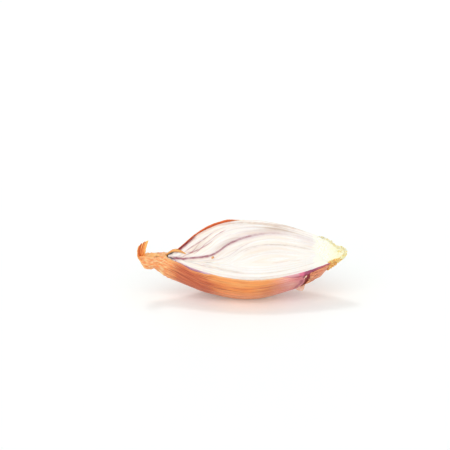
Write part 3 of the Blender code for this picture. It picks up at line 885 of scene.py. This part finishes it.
def layers(u):
    """Outer and inner section of every fleshy layer at u, by name."""
    outer = section(u, FLESH_INSET)
    half = (outer.far - outer.near) / 2
    wall = np.maximum(THINNEST_WALL, SCALE_WALL * np.minimum(1.0, half / FULL_HALF_WIDTH))
    first = LEFT_TIP["side_scale"]

    def taken_in(parent, seam):
        return nested(parent, u, parent.far - seam, parent.near + seam, seam)

    room = nested(outer, u, curve(OUTER_SCALE_FAR, u), outer.near + wall, wall, first)
    inside = taken_in(room, SEAM)
    side_inner = nested(inside, u, curve(SIDE_SCALE_FAR, u), inside.near, THINNEST_WALL, first, 0.0)
    side_core = nested(side_inner, u, side_inner.far - SEAM, side_inner.near, SEAM)
    main = nested(side_core, u, curve(MAIN_BULB_FAR, u), inside.near, THINNEST_WALL, first, 0.0)
    bed = Section(main.far + SEAM, main.near, main.depth + SEAM, main.rise, main.top)
    made = {"outer_scale": (outer, room), "side_scale": (inside, side_inner), "side_core": (side_core, bed)}
    body = main
    for name, following, far_points in (("main_scale_1", "main_scale_2", SECOND_SCALE_FAR),
                                        ("main_scale_2", "main_scale_3", THIRD_SCALE_FAR),
                                        ("main_scale_3", "heart", HEART_FAR)):
        thick = wall * (THICK_FIRST if name == "main_scale_1" else 1.0)
        hollow = nested(body, u, curve(far_points, u), body.near + thick, wall, LEFT_TIP[following])
        made[name] = (body, hollow)
        body = taken_in(hollow, SEAM if name == "main_scale_1" else FAINT_SEAM)
    made["heart"] = (body, body)
    return made


widths = {name: float(pair[0].far - pair[0].near) for name, pair in layers(0.0).items()}
print("widths at the middle, mm:", {name: round(w, 1) for name, w in widths.items()})

# %% [markdown]
# Flesh is wet and nearly white, and lets light in, so its shader scatters light under
# the surface. Faint stripes and a fine grain of cells run along each scale, as its
# fibres do. The lines on the face are the layers' own skins, seen edge on. Marks on the
# mesh say how strongly each tint shows at each point, and the finish lays them on.

# %% Finish: flesh
FIBROUS = {"grey": (214, 202, 204), "tan": (204, 176, 156), "lilac": (196, 156, 168)}
# the near-black tint is painted shade in the gaps at the neck; the others are the flesh's own
SOLID = {"rose": (178, 88, 100), "purple": (154, 66, 90), "cream": (255, 254, 236), "painted_gap_shade": (58, 42, 44)}


def flesh_finish():
    f = Finish("wet_white_flesh", Subsurface_Weight=0.3, Subsurface_Scale=0.001,
               Subsurface_Radius=(1.0, 0.75, 0.55), Specular_IOR_Level=0.3,
               Coat_Weight=0.05, Coat_Roughness=0.3)
    stripes = f.grain(0.05, 1.3, 3.0, 0.55)
    cells = f.grain(0.3, 2.6, 3.0, 0.6)
    f.shade = f.ramp(stripes, (0.34, (248, 237, 226)), (0.48, (252, 245, 238)), (0.60, (254, 251, 247)))
    f.lay(f.between(f.grain(0.10, 0.35, 2.0, 0.5), 0.44, 0.62, 0.0, 0.6), (248, 232, 214))
    f.lay(f.between(cells, 0.52, 0.66, 0.0, 0.3), (238, 224, 212))
    fibres = f.between(stripes, 0.3, 0.6, 1.0, 0.72)
    for mark, tint in FIBROUS.items():
        f.lay(f.times(f.mark(mark), fibres), tint)
    for mark, tint in SOLID.items():
        f.lay(f.mark(mark), tint)
    normal = f.bump(stripes, 0.06, 0.5, f.bump(cells, 0.03, 0.4))
    return f.done(normal, (stripes, 0.5, 0.38))


flesh = flesh_finish()

# %% [markdown]
# Each line follows an edge of one layer: its outer or inner edge, on the far or the near
# rim. Purple and lilac run between the two bulbs in a long S, rose streaks the neck, and
# tan and grey mark the faint seams. The strengths say where along the bulb a line fades
# in and out, which is what makes them look grown and not ruled.

# %% Lines along the layers' edges
OUTER_EDGE, INNER_EDGE, FAR_RIM, NEAR_RIM = 0, 1, 1.0, 0.0
S_LINE = [(-32, 0.9), (-24, 1.1), (-16, 1.3), (-8, 1.2), (-2, 0.9), (1, 0.5), (6, 0.25), (14, 0.1)]
S_HALO = [(-32, 0.5), (-25, 0.4), (-17, 0.4), (-9, 0.5), (-2, 0.7), (4, 0.6), (12, 0.4),
          (18, 0.18), (27, 0.05)]
ROSE_LINE = [(-28, 0.5), (-24.5, 1.2), (-18, 1.1), (-14.5, 0.4), (-10, 0.1), (0, 0.0)]
FAR_LINES = [  # layer, its edge, width in mm, tint, (u, strength)
    ("main_scale_1", OUTER_EDGE, 0.75, "purple", S_LINE),
    ("main_scale_1", OUTER_EDGE, 1.5, "lilac", S_HALO),
    ("side_core", INNER_EDGE, 0.45, "purple", S_LINE),
    ("side_core", INNER_EDGE, 1.3, "lilac", S_HALO),
    ("outer_scale", INNER_EDGE, 0.35, "rose", ROSE_LINE),
    ("side_scale", OUTER_EDGE, 0.3, "rose", ROSE_LINE),
    ("side_scale", INNER_EDGE, 0.3, "rose", ROSE_LINE),
    ("side_core", OUTER_EDGE, 0.35, "rose", ROSE_LINE),
    ("side_scale", INNER_EDGE, 0.5, "tan", [(-12, 0.0), (-4, 0.35), (10, 0.7), (20, 0.6), (27, 0.2)]),
    ("side_core", OUTER_EDGE, 0.7, "grey", [(-12, 0.0), (-4, 0.4), (10, 0.8), (22, 0.5)]),
    ("outer_scale", INNER_EDGE, 0.35, "tan", [(-12, 0.1), (-4, 0.4), (6, 0.7), (22, 0.4)]),
    ("outer_scale", OUTER_EDGE, 0.3, "tan", [(-22, 0.4), (-10, 0.6), (8, 0.6), (22, 0.5), (28, 0.3)]),
    ("main_scale_1", OUTER_EDGE, 3.0, "tan", [(-20, 0.12), (-10, 0.22), (-2, 0.25), (6, 0.1), (14, 0.0)]),
    # partly the purple inner side of the proud skin, partly painted shade under the far rim near the neck
    ("outer_scale", OUTER_EDGE, 1.9, "purple", [(-31.5, 0.0), (-29.5, 1.3), (-25, 1.2), (-22, 0.0)]),
    ("main_scale_2", OUTER_EDGE, 0.6, "lilac", [(-22, 0.4), (-12, 0.6), (-4, 0.7), (2, 0.25), (20, 0.1)]),
    ("main_scale_3", OUTER_EDGE, 0.7, "tan", [(-12, 0.1), (-3, 0.5), (6, 0.5), (24, 0.5)]),
    ("heart", OUTER_EDGE, 0.6, "tan", [(-8, 0.0), (4, 0.15), (24, 0.3)]),
]
NEAR_LINES = [
    ("outer_scale", OUTER_EDGE, 1.8, "tan",
     [(-14, 0.0), (-6, 0.35), (0, 0.45), (8, 0.45), (16, 0.3), (24, 0.1)]),
    ("outer_scale", OUTER_EDGE, 0.5, "lilac",
     [(-31, 0.9), (-25, 0.7), (-15, 0.4), (-11, 0.0), (19, 0.0), (23, 0.4)]),
    ("outer_scale", INNER_EDGE, 0.35, "tan", [(-24, 0.0), (-10, 0.3), (6, 0.6), (25, 0.5)]),
    ("main_scale_1", INNER_EDGE, 0.4, "tan", [(-19, 0.9), (-12, 0.6), (4, 0.7), (25, 0.6)]),
]
print("lines along edges:", len(FAR_LINES) + len(NEAR_LINES))

# %% [markdown]
# Not every line keeps to an edge. The outer scale is several thin leaves grown together,
# which show as streaks across the face, and wet flesh has soft patches of tan, grey and
# lilac. At the neck, painted shade lies nearly black in the gaps round the tips of the
# leaves, where they meet the neck's opening, and a purple patch on the tip's lower side
# is partly the skins' purple and partly painted shade.

# %% Streaks and patches on the face
STREAKS = [  # width in mm, strength, tint, (u, v) along the face
    (0.28, 1.00, "rose", [(-27.5, -1.2), (-25.5, -1.9), (-24.2, -1.6), (-22.6, 1.2), (-20.5, 4.8)]),
    (0.24, 0.60, "tan", [(-23.5, 0.0), (-22.0, 2.6), (-19.3, 7.2), (-16.5, 10.4)]),
    (0.28, 1.00, "rose", [(-24.0, -3.2), (-22.6, -2.2), (-20.9, 0.2), (-18.7, 3.5), (-15.8, 7.2)]),
    (0.26, 0.80, "rose", [(-18.2, 4.2), (-16.2, 6.7), (-14.3, 9.6), (-12.0, 12.2), (-9.0, 14.4)]),
    (0.24, 0.55, "tan", [(-25.0, 4.4), (-22.0, 8.0), (-18.5, 12.4)]),
    (0.32, 0.80, "purple", [(-20.5, -4.8), (-18.2, -4.6), (-16.4, -4.1), (-13.8, -2.6)]),
    (0.30, 0.60, "lilac", [(-21.8, -11.2), (-19.0, -10.9), (-15.5, -10.3)]),
    (0.45, 0.70, "tan", [(-18.6, -11.0), (-14.5, -12.6), (-9.0, -14.6), (-2.0, -15.9)]),
    (0.60, 0.20, "tan", [(-12.0, 14.0), (-4.0, 16.8), (5.0, 17.4), (14.0, 15.2)]),
    (0.75, 0.75, "tan",
     [(-13.5, 16.6), (-10.4, 17.7), (-6.2, 18.6), (0.0, 19.1), (6.2, 18.4), (12.5, 17.0), (18.7, 15.2),
      (24.0, 12.6)]),
    (0.45, 0.45, "grey", [(-11.5, 8.4), (-6.2, 11.3), (0.0, 13.0), (6.5, 13.8)]),
    (0.50, 0.45, "tan", [(-3.5, -1.6), (2.0, 1.6), (9.0, 3.4), (17.0, 2.6), (25.0, 0.6)]),
    (0.40, 0.40, "tan", [(8.0, -9.5), (14.0, -8.4), (22.0, -7.0)]),
    (0.35, 0.40, "grey", [(-8.5, -1.6), (-6.0, 0.8), (-3.2, 3.4), (-0.6, 5.2)]),
]
PATCHES = [  # tint, strength, u, v, half length, half width, slope
    ("tan", 0.45, -23.0, -0.2, 4.0, 1.6, 0.9), ("tan", 0.25, -20.8, 4.4, 4.0, 2.5, 1.3),
    ("tan", 0.40, -10.0, 4.4, 6.0, 1.7, 0.9), ("grey", 0.5, -9.0, 5.5, 7.0, 2.2, 0.8),
    ("tan", 0.60, 12.5, 13.9, 6.0, 1.5, -0.2), ("grey", 0.4, 8.0, 12.9, 8.0, 1.6, -0.1),
    ("tan", 0.32, 8.5, 13.9, 7.0, 2.2, 0.24), ("tan", 0.25, 0.5, 11.9, 3.5, 1.3, 0.2),
    ("lilac", 0.22, 0.0, 7.9, 3.0, 1.2, 0.3),
    ("lilac", 0.18, 24.0, 6.0, 4.5, 2.0, -0.45), ("tan", 0.25, 24.5, 2.2, 3.5, 1.0, -0.2),
    ("tan", 0.22, -14.0, -4.5, 7.0, 2.6, 0.6), ("tan", 0.25, -18.0, -12.0, 3.0, 0.7, -0.4),
    # the purple patch at the end of this line, and the two near-black patches below, lie at the neck's tip:
    # painted shade, the purple partly the skins' own
    ("tan", 0.16, 5.0, -1.0, 12.0, 3.5, 0.05), ("purple", 1.1, -30.4, -6.0, 2.6, 1.0, -0.1),
    ("painted_gap_shade", 0.6, -32.6, -6.0, 0.8, 0.7, -0.4), ("painted_gap_shade", 0.6, -32.8, -3.2, 1.2, 0.6, 0.3),
]
print("streaks and patches:", len(STREAKS), len(PATCHES))

# %% [markdown]
# One function adds all of them up at every point of the face. A slow noise shifts the
# streaks sideways and another makes every line uneven, so that none looks drawn.

# %% How strongly each tint shows
def stains(name, u, v, gaps, side):
    """Strength of each tint; gaps are mm from the layer's outer and inner edge."""
    tints = {tint: np.zeros_like(u) for tint in ("purple", "lilac", "rose", "tan", "grey", "painted_gap_shade")}
    uneven = 0.85 + 0.3 * noise(u * 0.9, v * 0.9, 54)
    v = v + 0.25 * noise(u * 0.5, v * 0.2, 56) + 0.12 * noise(u * 1.3, v * 0.3, 57)
    for rim, lines in ((FAR_RIM, FAR_LINES), (NEAR_RIM, NEAR_LINES)):
        for layer, edge, width, tint, strength in lines:
            if layer == name:
                line = np.exp(-((gaps[edge] / width) ** 2)) * curve(strength, u)
                tints[tint] += line * (side == rim) * uneven
    for width, strength, tint, points in STREAKS:
        first, last = points[0][0], points[-1][0]
        ends = step(first, first + 2.5, u) * step(last, last - 3.0, u)
        line = np.exp(-(((v - curve(points, u)) / width) ** 2))
        tints[tint] += line * ends * strength * uneven * (gaps[0] < 8)
    for tint, strength, at_u, at_v, length, width, slope in PATCHES:
        across = (v - at_v - slope * (u - at_u)) / width
        tints[tint] += strength * np.exp(-(((u - at_u) / length) ** 2) - across**2)
    if name == "outer_scale":
        # painted shade: near-black along the outer scale's edge at the neck, in the gap round the tip
        tints["painted_gap_shade"] += step(-29.5, -32.5, u) * np.exp(-((gaps[0] / 0.6) ** 2))
    made = {tint: np.clip(weight, 0, 1) for tint, weight in tints.items()}
    wander = 0.9 * noise(u * 0.8, v * 0.7, 53) + 0.5 * noise(u * 0.4, v * 2.5, 58)
    made["cream"] = step(25.6, 28.0, u + wander)
    return made


spot = np.array([0.0])
print("tints:", ", ".join(sorted(stains("heart", spot, spot, (spot, spot), 0.5))))

# %% [markdown]
# A scale's ring of points runs round its outside, in over the near rim, back along its
# inside and out over the far rim. The heart has no hollow, so its ring goes straight
# across the face. Each rim is swollen very slightly, as cut cells swell, so that the
# seams show as fine grooves.

# %% Rings of a fleshy piece
RINGS, OUTSIDE, ACROSS_HEART = 190, 22, 40  # rings along a scale, points round and across it
SWELL = 0.05  # mm that a cut rim stands up between its seams
RIM_STEP, RIM_CLOSE = 0.28, 0.07  # mm between points across a rim, and from its edge to the first
NEAR_RIM_WIDTH, FAR_RIM_WIDTH = 1.6, {"outer_scale": 3.0, "side_scale": 3.2, "side_core": 9.0}  # mm
OFF_FACE, FAR_OFF = -1.0, 9.0  # stand for the gap of a hidden point, and one too wide to matter


def rim_steps(width):
    """Fractions across a rim, close together beside its two edges."""
    even = np.linspace(0, 1, max(6, int(width / RIM_STEP)) + 1)[1:-1]
    close = RIM_CLOSE / width
    even = even[(even > 3.5 * close) & (even < 1 - 3.5 * close)]
    return np.r_[close, 2.4 * close, even, 1 - 2.4 * close, 1 - close]


def stretches(name, last):
    """The stretches of a ring and the fractions along each at which points lie."""
    outside = np.linspace(0, last, OUTSIDE)
    if name == "heart":
        return [("outside", outside), ("face", np.linspace(0, 1, ACROSS_HEART + 2)[1:-1])]
    near = [("near rim", rim_steps(NEAR_RIM_WIDTH))] if last == 1.0 else []
    far = rim_steps(FAR_RIM_WIDTH.get(name, 4.0))[::-1]
    return [("outside", outside)] + near + [("inside", outside[::-1]), ("far rim", far)]


def stretch_points(name, kind, share, u):
    """u, v, w, gaps to the outer and inner edge, and side, of one stretch of every ring."""
    outer, inner = layers(u)[name]
    share = np.broadcast_to(share, u.shape)
    if kind in ("outside", "inside"):
        v, w = around(outer if kind == "outside" else inner, share)
        return u, v, w, np.full_like(u, OFF_FACE), np.full_like(u, OFF_FACE), np.full_like(u, NEAR_RIM)
    start, end, side = {"near rim": (1.0, 1.0, NEAR_RIM), "far rim": (0.0, 0.0, FAR_RIM),
                        "face": (1.0, 0.0, 0.5)}[kind]
    v0, w0 = around(outer, np.full_like(u, start))
    v1, w1 = around(inner, np.full_like(u, end))
    width = np.abs(v1 - v0)
    swell = SWELL * np.minimum(1.0, width) * (4 * share * (1 - share)) ** 0.35
    gaps = share * width, (1 - share) * width
    if kind == "face":
        gaps = np.minimum(*gaps), np.minimum(*gaps) + FAR_OFF
    return u, v0 + (v1 - v0) * share, w0 + (w1 - w0) * share + swell, *gaps, np.full_like(u, side)


def rings_of(name, last, u):
    """The same six values for whole rings, u being given for each (ring, point)."""
    parts, k = [], 0
    for kind, share in stretches(name, last):
        parts.append(stretch_points(name, kind, share, u[:, k:k + len(share)]))
        k += len(share)
    return [np.concatenate(values, axis=1) for values in zip(*parts)]


print("points in a ring of the outer scale:", sum(len(share) for _, share in stretches("outer_scale", 1.0)))

# %% [markdown]
# One loop makes all seven fleshy pieces. The rings are laid out once to find where each
# point lies across the face, then again pulled along to the slanting edge of the root
# plate. The side bulb's pieces run only part of the way round, as the main bulb fills
# the rest of the outer scale.

# %% Scales, side bulb and heart
PART_WAY = 0.6  # how far round its outside a piece of the side bulb runs


def fleshy_piece(name, slot, last=1.0):
    """A fleshy layer; last is how far round its outside runs, 1 for all the way."""
    s = np.linspace(0.002, 1, RINGS) ** 0.92
    nominal = (LEFT_TIP[name] + (FLESH_END - LEFT_TIP[name]) * s)[:, None]
    count = sum(len(share) for _, share in stretches(name, last))
    v, w = rings_of(name, last, np.repeat(nominal, count, axis=1))[1:3]
    slant = (root_edge(v) - ROOT_EDGE) * step(-2.5, 0.0, w)
    u, v, w, outer_gap, inner_gap, side = rings_of(name, last, nominal + slant * step(12.0, 28.0, nominal))
    on_face = outer_gap >= 0
    gaps = np.where(on_face, outer_gap, FAR_OFF), np.where(on_face, inner_gap, FAR_OFF)
    grain = np.stack([u, np.where(on_face, outer_gap, v), w], -1)
    return piece(name + "_flesh", place(u, v, w, FLESH_INSET), tube_faces(*u.shape), flesh, slot, [name],
                 grain=grain, along=u, **stains(name, u, v, gaps, side))


for name in ("outer_scale", "main_scale_1", "main_scale_2"):
    fleshy_piece(name, "white_flesh")
for name in ("main_scale_3", "heart"):
    fleshy_piece(name, "cream_flesh")
for name in ("side_scale", "side_core"):
    fleshy_piece(name, "white_flesh", PART_WAY)

# %% [markdown]
# The root plate is the bulb's short stem: cream and grainy where it was cut, straw
# towards its edges, and brown bark outside, where dried roots broke off. A mark on the
# mesh, the crust, says how old the surface is at each point, from cut flesh to bark.

# %% Finish: root plate
def plate_finish():
    f = Finish("root_plate_flesh", Subsurface_Weight=0.4, Subsurface_Scale=0.0005,
               Subsurface_Radius=(1.0, 0.9, 0.7), Specular_IOR_Level=0.3)
    grains = f.grain(1.0, 1.5, 4.0, 0.65)
    crust = f.mark("crust")
    f.shade = f.ramp(grains, (0.32, (252, 242, 198)), (0.44, (255, 254, 228)), (0.55, (255, 255, 247)))
    f.lay(f.between(f.mark("along"), 30.5, 36.0, 0.0, 0.6), (255, 250, 206))
    straw = f.ramp(grains, (0.36, (250, 200, 110)), (0.46, (255, 234, 150)), (0.58, (255, 250, 204)))
    f.lay(f.between(crust, 0.0, 0.5), straw)
    bark = f.ramp(grains, (0.36, (190, 100, 40)), (0.45, (255, 168, 76)), (0.57, (255, 214, 128)))
    f.lay(f.between(crust, 0.5, 0.9), bark)
    return f.done(f.bump(grains, 0.3, 0.6), (grains, 0.6, 0.4))


root_paper = plate_finish()

# %% [markdown]
# The plate is drawn as rings like the scales, from three outlines: its far and near edge
# on the face and its depth. It begins inside the flesh, so no seam shows. Its face is
# grainy from the knife, its underside bumpy and its tip ragged.

# %% Root plate
PLATE_FAR = [(28, 9.9), (29.5, 9.0), (31.2, 7.8), (33.3, 6.1), (35.4, 2.9), (36.7, 1.7),
             (38.3, 0.9), (39.8, 0.1)]
PLATE_NEAR = [(28, -11.6), (30, -10.8), (31.2, -9.9), (32.2, -9.0), (33.2, -8.1), (34.4, -7.5),
              (36.2, -6.4), (38.5, -4.5), (39.8, -2.6)]
PLATE_DEPTH = [(28, 9.6), (31, 8.2), (33, 6.9), (34, 6.0), (35.4, 4.6), (36.5, 3.2),
               (38.5, 2.2), (39.8, 0.9)]
PLATE_START, PLATE_END = 28.0, 39.7
PLATE_RINGS, ON_FACE, UNDER = 60, 56, 62  # rings, and points of each across the face and under it
PLATE_HIDDEN, PLATE_SUNK, PLATE_COVER = 0.3, 0.35, 0.3  # mm inside the flesh, under its face, off the floor


def plate_breadth(u):
    """Middle and half width of the plate's face at u."""
    far, near = curve(PLATE_FAR, u), curve(PLATE_NEAR, u)
    return (far + near) / 2, (far - near) / 2


def plate_rings(u):
    """(v, w) of the rim across the cut, then of the rough underside, for every u."""
    over, below = u[:, :ON_FACE], u[:, ON_FACE:]
    middle, half = plate_breadth(over)
    v_face = middle + half * (1 - 2 * np.linspace(0, 1, ON_FACE))
    grainy = 0.16 * noise(over * 1.9, v_face * 1.9, 81) + 0.12 * noise(over * 4, v_face * 4, 82)
    w_face = 0.06 + grainy * step(28.6, 30.5, over)
    angle = math.pi * (1 - np.linspace(0, 1, UNDER + 2)[1:-1])
    middle, half = plate_breadth(below)
    inside = step(34.0, 32.0, below)
    bumpy = 0.07 * noise(below * 1.3, angle * 5, 83) + 0.05 * noise(below * 2.8, angle * 11, 84)
    bumpy = 1 + bumpy * (1 - 0.85 * inside) - inside * (0.03 + 0.10 * np.sin(angle))
    v_under = middle + half * np.cos(angle) * bumpy
    w_under = -curve(PLATE_DEPTH, below) * np.sin(angle) * bumpy
    return np.concatenate([v_face, v_under], 1), np.concatenate([w_face, w_under], 1)


def root_plate():
    s = np.linspace(0, 1, PLATE_RINGS)[:, None]
    v, w = plate_rings(np.repeat(PLATE_START + (PLATE_END - PLATE_START) * s, ON_FACE + UNDER, axis=1))
    start = root_edge(v) - PLATE_HIDDEN
    u = start + (PLATE_END - start) * s
    v, w = plate_rings(u)
    w[:1] -= PLATE_SUNK
    ragged = 0.24 * noise(u * 1.2, v * 1.2, 85) + 0.06 * noise(u * 3.0, v * 3.0, 86)
    u = u + ragged * step(0.1, 0.5, s)
    from_edge = np.minimum(curve(PLATE_FAR, u) - v, v - curve(PLATE_NEAR, u))
    straw = 0.55 * np.maximum(step(1.3, 0.0, from_edge + 0.6 * noise(u * 2, v * 2, 87)), step(37.8, 39.6, u))
    crust = np.where(np.arange(ON_FACE + UNDER) < ON_FACE, straw, 1.0) * step(28.5, 31.0, u)
    return piece("root_plate_flesh", place(u, v, w, PLATE_COVER), tube_faces(*u.shape), root_paper,
                 "root_flesh", ["root_plate"], grain=np.stack([u, v, w], -1), crust=crust, along=u)


root_plate()

# %% [markdown]
# The root plate's outline is made of crumbs: stubs of dried roots and torn grains, pale
# where they were cut and brown where they are old. Each crumb is a small closed lump of
# its own, and they all share one mesh, because each alone is too small to matter and
# together they make the ragged outline.

# %% Crumbs round the root plate
LUMP_RINGS, LUMP_SIDES = 5, 7
chance = np.random.default_rng(92)


def lump(middle, size, seed):
    """Points of a rough ball of a few rings, flat at both ends."""
    t, a = np.meshgrid(np.linspace(0.12, 0.88, LUMP_RINGS) * math.pi,
                       np.linspace(0, 2 * math.pi, LUMP_SIDES + 1)[:-1], indexing="ij")
    rough = size * (1 + 0.5 * noise(t * 2.5, a * 1.4 + 3 * seed, 91))
    ball = np.stack([np.sin(t) * np.cos(a), np.sin(t) * np.sin(a), np.cos(t)], -1) * rough[..., None]
    return np.asarray(middle) + ball


def far_crumb(u):
    """u, v, w and crust of a pale crumb on the far edge."""
    v = curve(PLATE_FAR, u) + chance.normal(-0.2, 0.25)
    return u, v, chance.uniform(-0.3, 0.3), chance.uniform(0.05, 0.4)


def near_crumb(u):
    """The same for a brown crumb on the near edge or under it."""
    middle, half = plate_breadth(u)
    turn = math.pi * chance.uniform(0.0, 1.0) ** 1.5
    age = 1.0 if u < 36.0 else 0.8 if u < 37.6 else 0.5
    v, w = middle - (half + 0.2) * math.cos(turn), -curve(PLATE_DEPTH, u) * math.sin(turn)
    return u, v, w, chance.uniform(0.75, 1.0) * age


def tip_crumb():
    u = chance.uniform(35.8, 39.9)
    v = chance.uniform(curve(PLATE_NEAR, u), curve(PLATE_FAR, u))
    return u, v, chance.uniform(-0.4, -0.05), chance.uniform(0.05, 0.5)


crumbs = [far_crumb(u) for u in np.linspace(28.8, 39.6, 74)]
crumbs += [near_crumb(u) for u in np.linspace(32.2, 39.8, 210)]
crumbs += [tip_crumb() for _ in range(44)]
lumps = [lump(crumb[:3], chance.uniform(0.22, 0.62), k) for k, crumb in enumerate(crumbs)]
each = LUMP_RINGS * LUMP_SIDES
lump_faces = tube_faces(LUMP_RINGS, LUMP_SIDES)
crumb_faces = [[corner + each * k for corner in face] for k in range(len(crumbs)) for face in lump_faces]
crumb_points = np.array(lumps).reshape(-1, 3)
piece("root_crumbs", place(*crumb_points.T, PLATE_COVER), crumb_faces, root_paper, "root_flesh",
      grain=crumb_points, crust=np.repeat([crumb[3] for crumb in crumbs], each), along=crumb_points[:, 0])

# %% [markdown]
# The floor is a pale plain that curves up far away, so that no horizon shows. It glows a
# little by itself, like the lit acrylic sheet of a product table, which keeps the shadow
# under the bulb light.

# %% Floor
def floor_finish():
    f = Finish("pale_floor", Base_Color=(0.86, 0.88, 0.88, 1), Specular_IOR_Level=0.1, Roughness=0.4,
               Emission_Color=(0.95, 1.0, 0.93, 1), Emission_Strength=0.16)
    return f.material


FLOOR_REACH, FLAT_REACH, FLOOR_RISE = 3.2, 2.0, 0.7  # m
FLOOR_RINGS, FLOOR_SIDES = 60, 96
out, turn = np.meshgrid(np.linspace(0.02, 1, FLOOR_RINGS), np.linspace(0, 2 * math.pi, FLOOR_SIDES + 1)[:-1],
                        indexing="ij")
reach = FLOOR_REACH * out
rise = FLOOR_RISE * np.clip((reach - FLAT_REACH) / (FLOOR_REACH - FLAT_REACH), 0, 1) ** 2 - 0.02 * MM
bowl = np.stack([reach * np.cos(turn), reach * np.sin(turn), rise], -1)
floor_mesh = bpy.data.meshes.new("floor")
floor_mesh.from_pydata(bowl.reshape(-1, 3).tolist(), [], tube_faces(FLOOR_RINGS, FLOOR_SIDES)[:-1])
floor_mesh.materials.append(floor_finish())
floor_mesh.shade_smooth()
floor = bpy.data.objects.new("floor", floor_mesh)
scene.collection.objects.link(floor)
print("floor, m across:", 2 * round(float(reach.max()), 1))

# %% [markdown]
# Plain studio: a white surrounding and two lamps, a small one behind for the shadow and
# a very broad one in front. Both are far away, so that the whole floor is lit evenly.

# %% Light
world = bpy.data.worlds.new("surrounding")
scene.world = world
world.use_nodes = True
surrounding = world.node_tree.nodes["Background"]
surrounding.inputs["Color"].default_value = (1.0, 1.0, 1.0, 1)
surrounding.inputs["Strength"].default_value = 0.56


def far_lamp(name, power, spread, towards):
    """A lamp as far as the sun; its spread in degrees says how soft its shadow is."""
    lamp = bpy.data.lights.new(name, "SUN")
    lamp.energy = power
    lamp.angle = math.radians(spread)
    made = bpy.data.objects.new(name, lamp)
    made.rotation_euler = Vector(towards).to_track_quat("-Z", "Y").to_euler()
    scene.collection.objects.link(made)


far_lamp("back_lamp", 0.62, 15, (0.2, -0.5, -0.84))
far_lamp("front_lamp", 1.8, 80, (0.1, 0.85, -0.45))
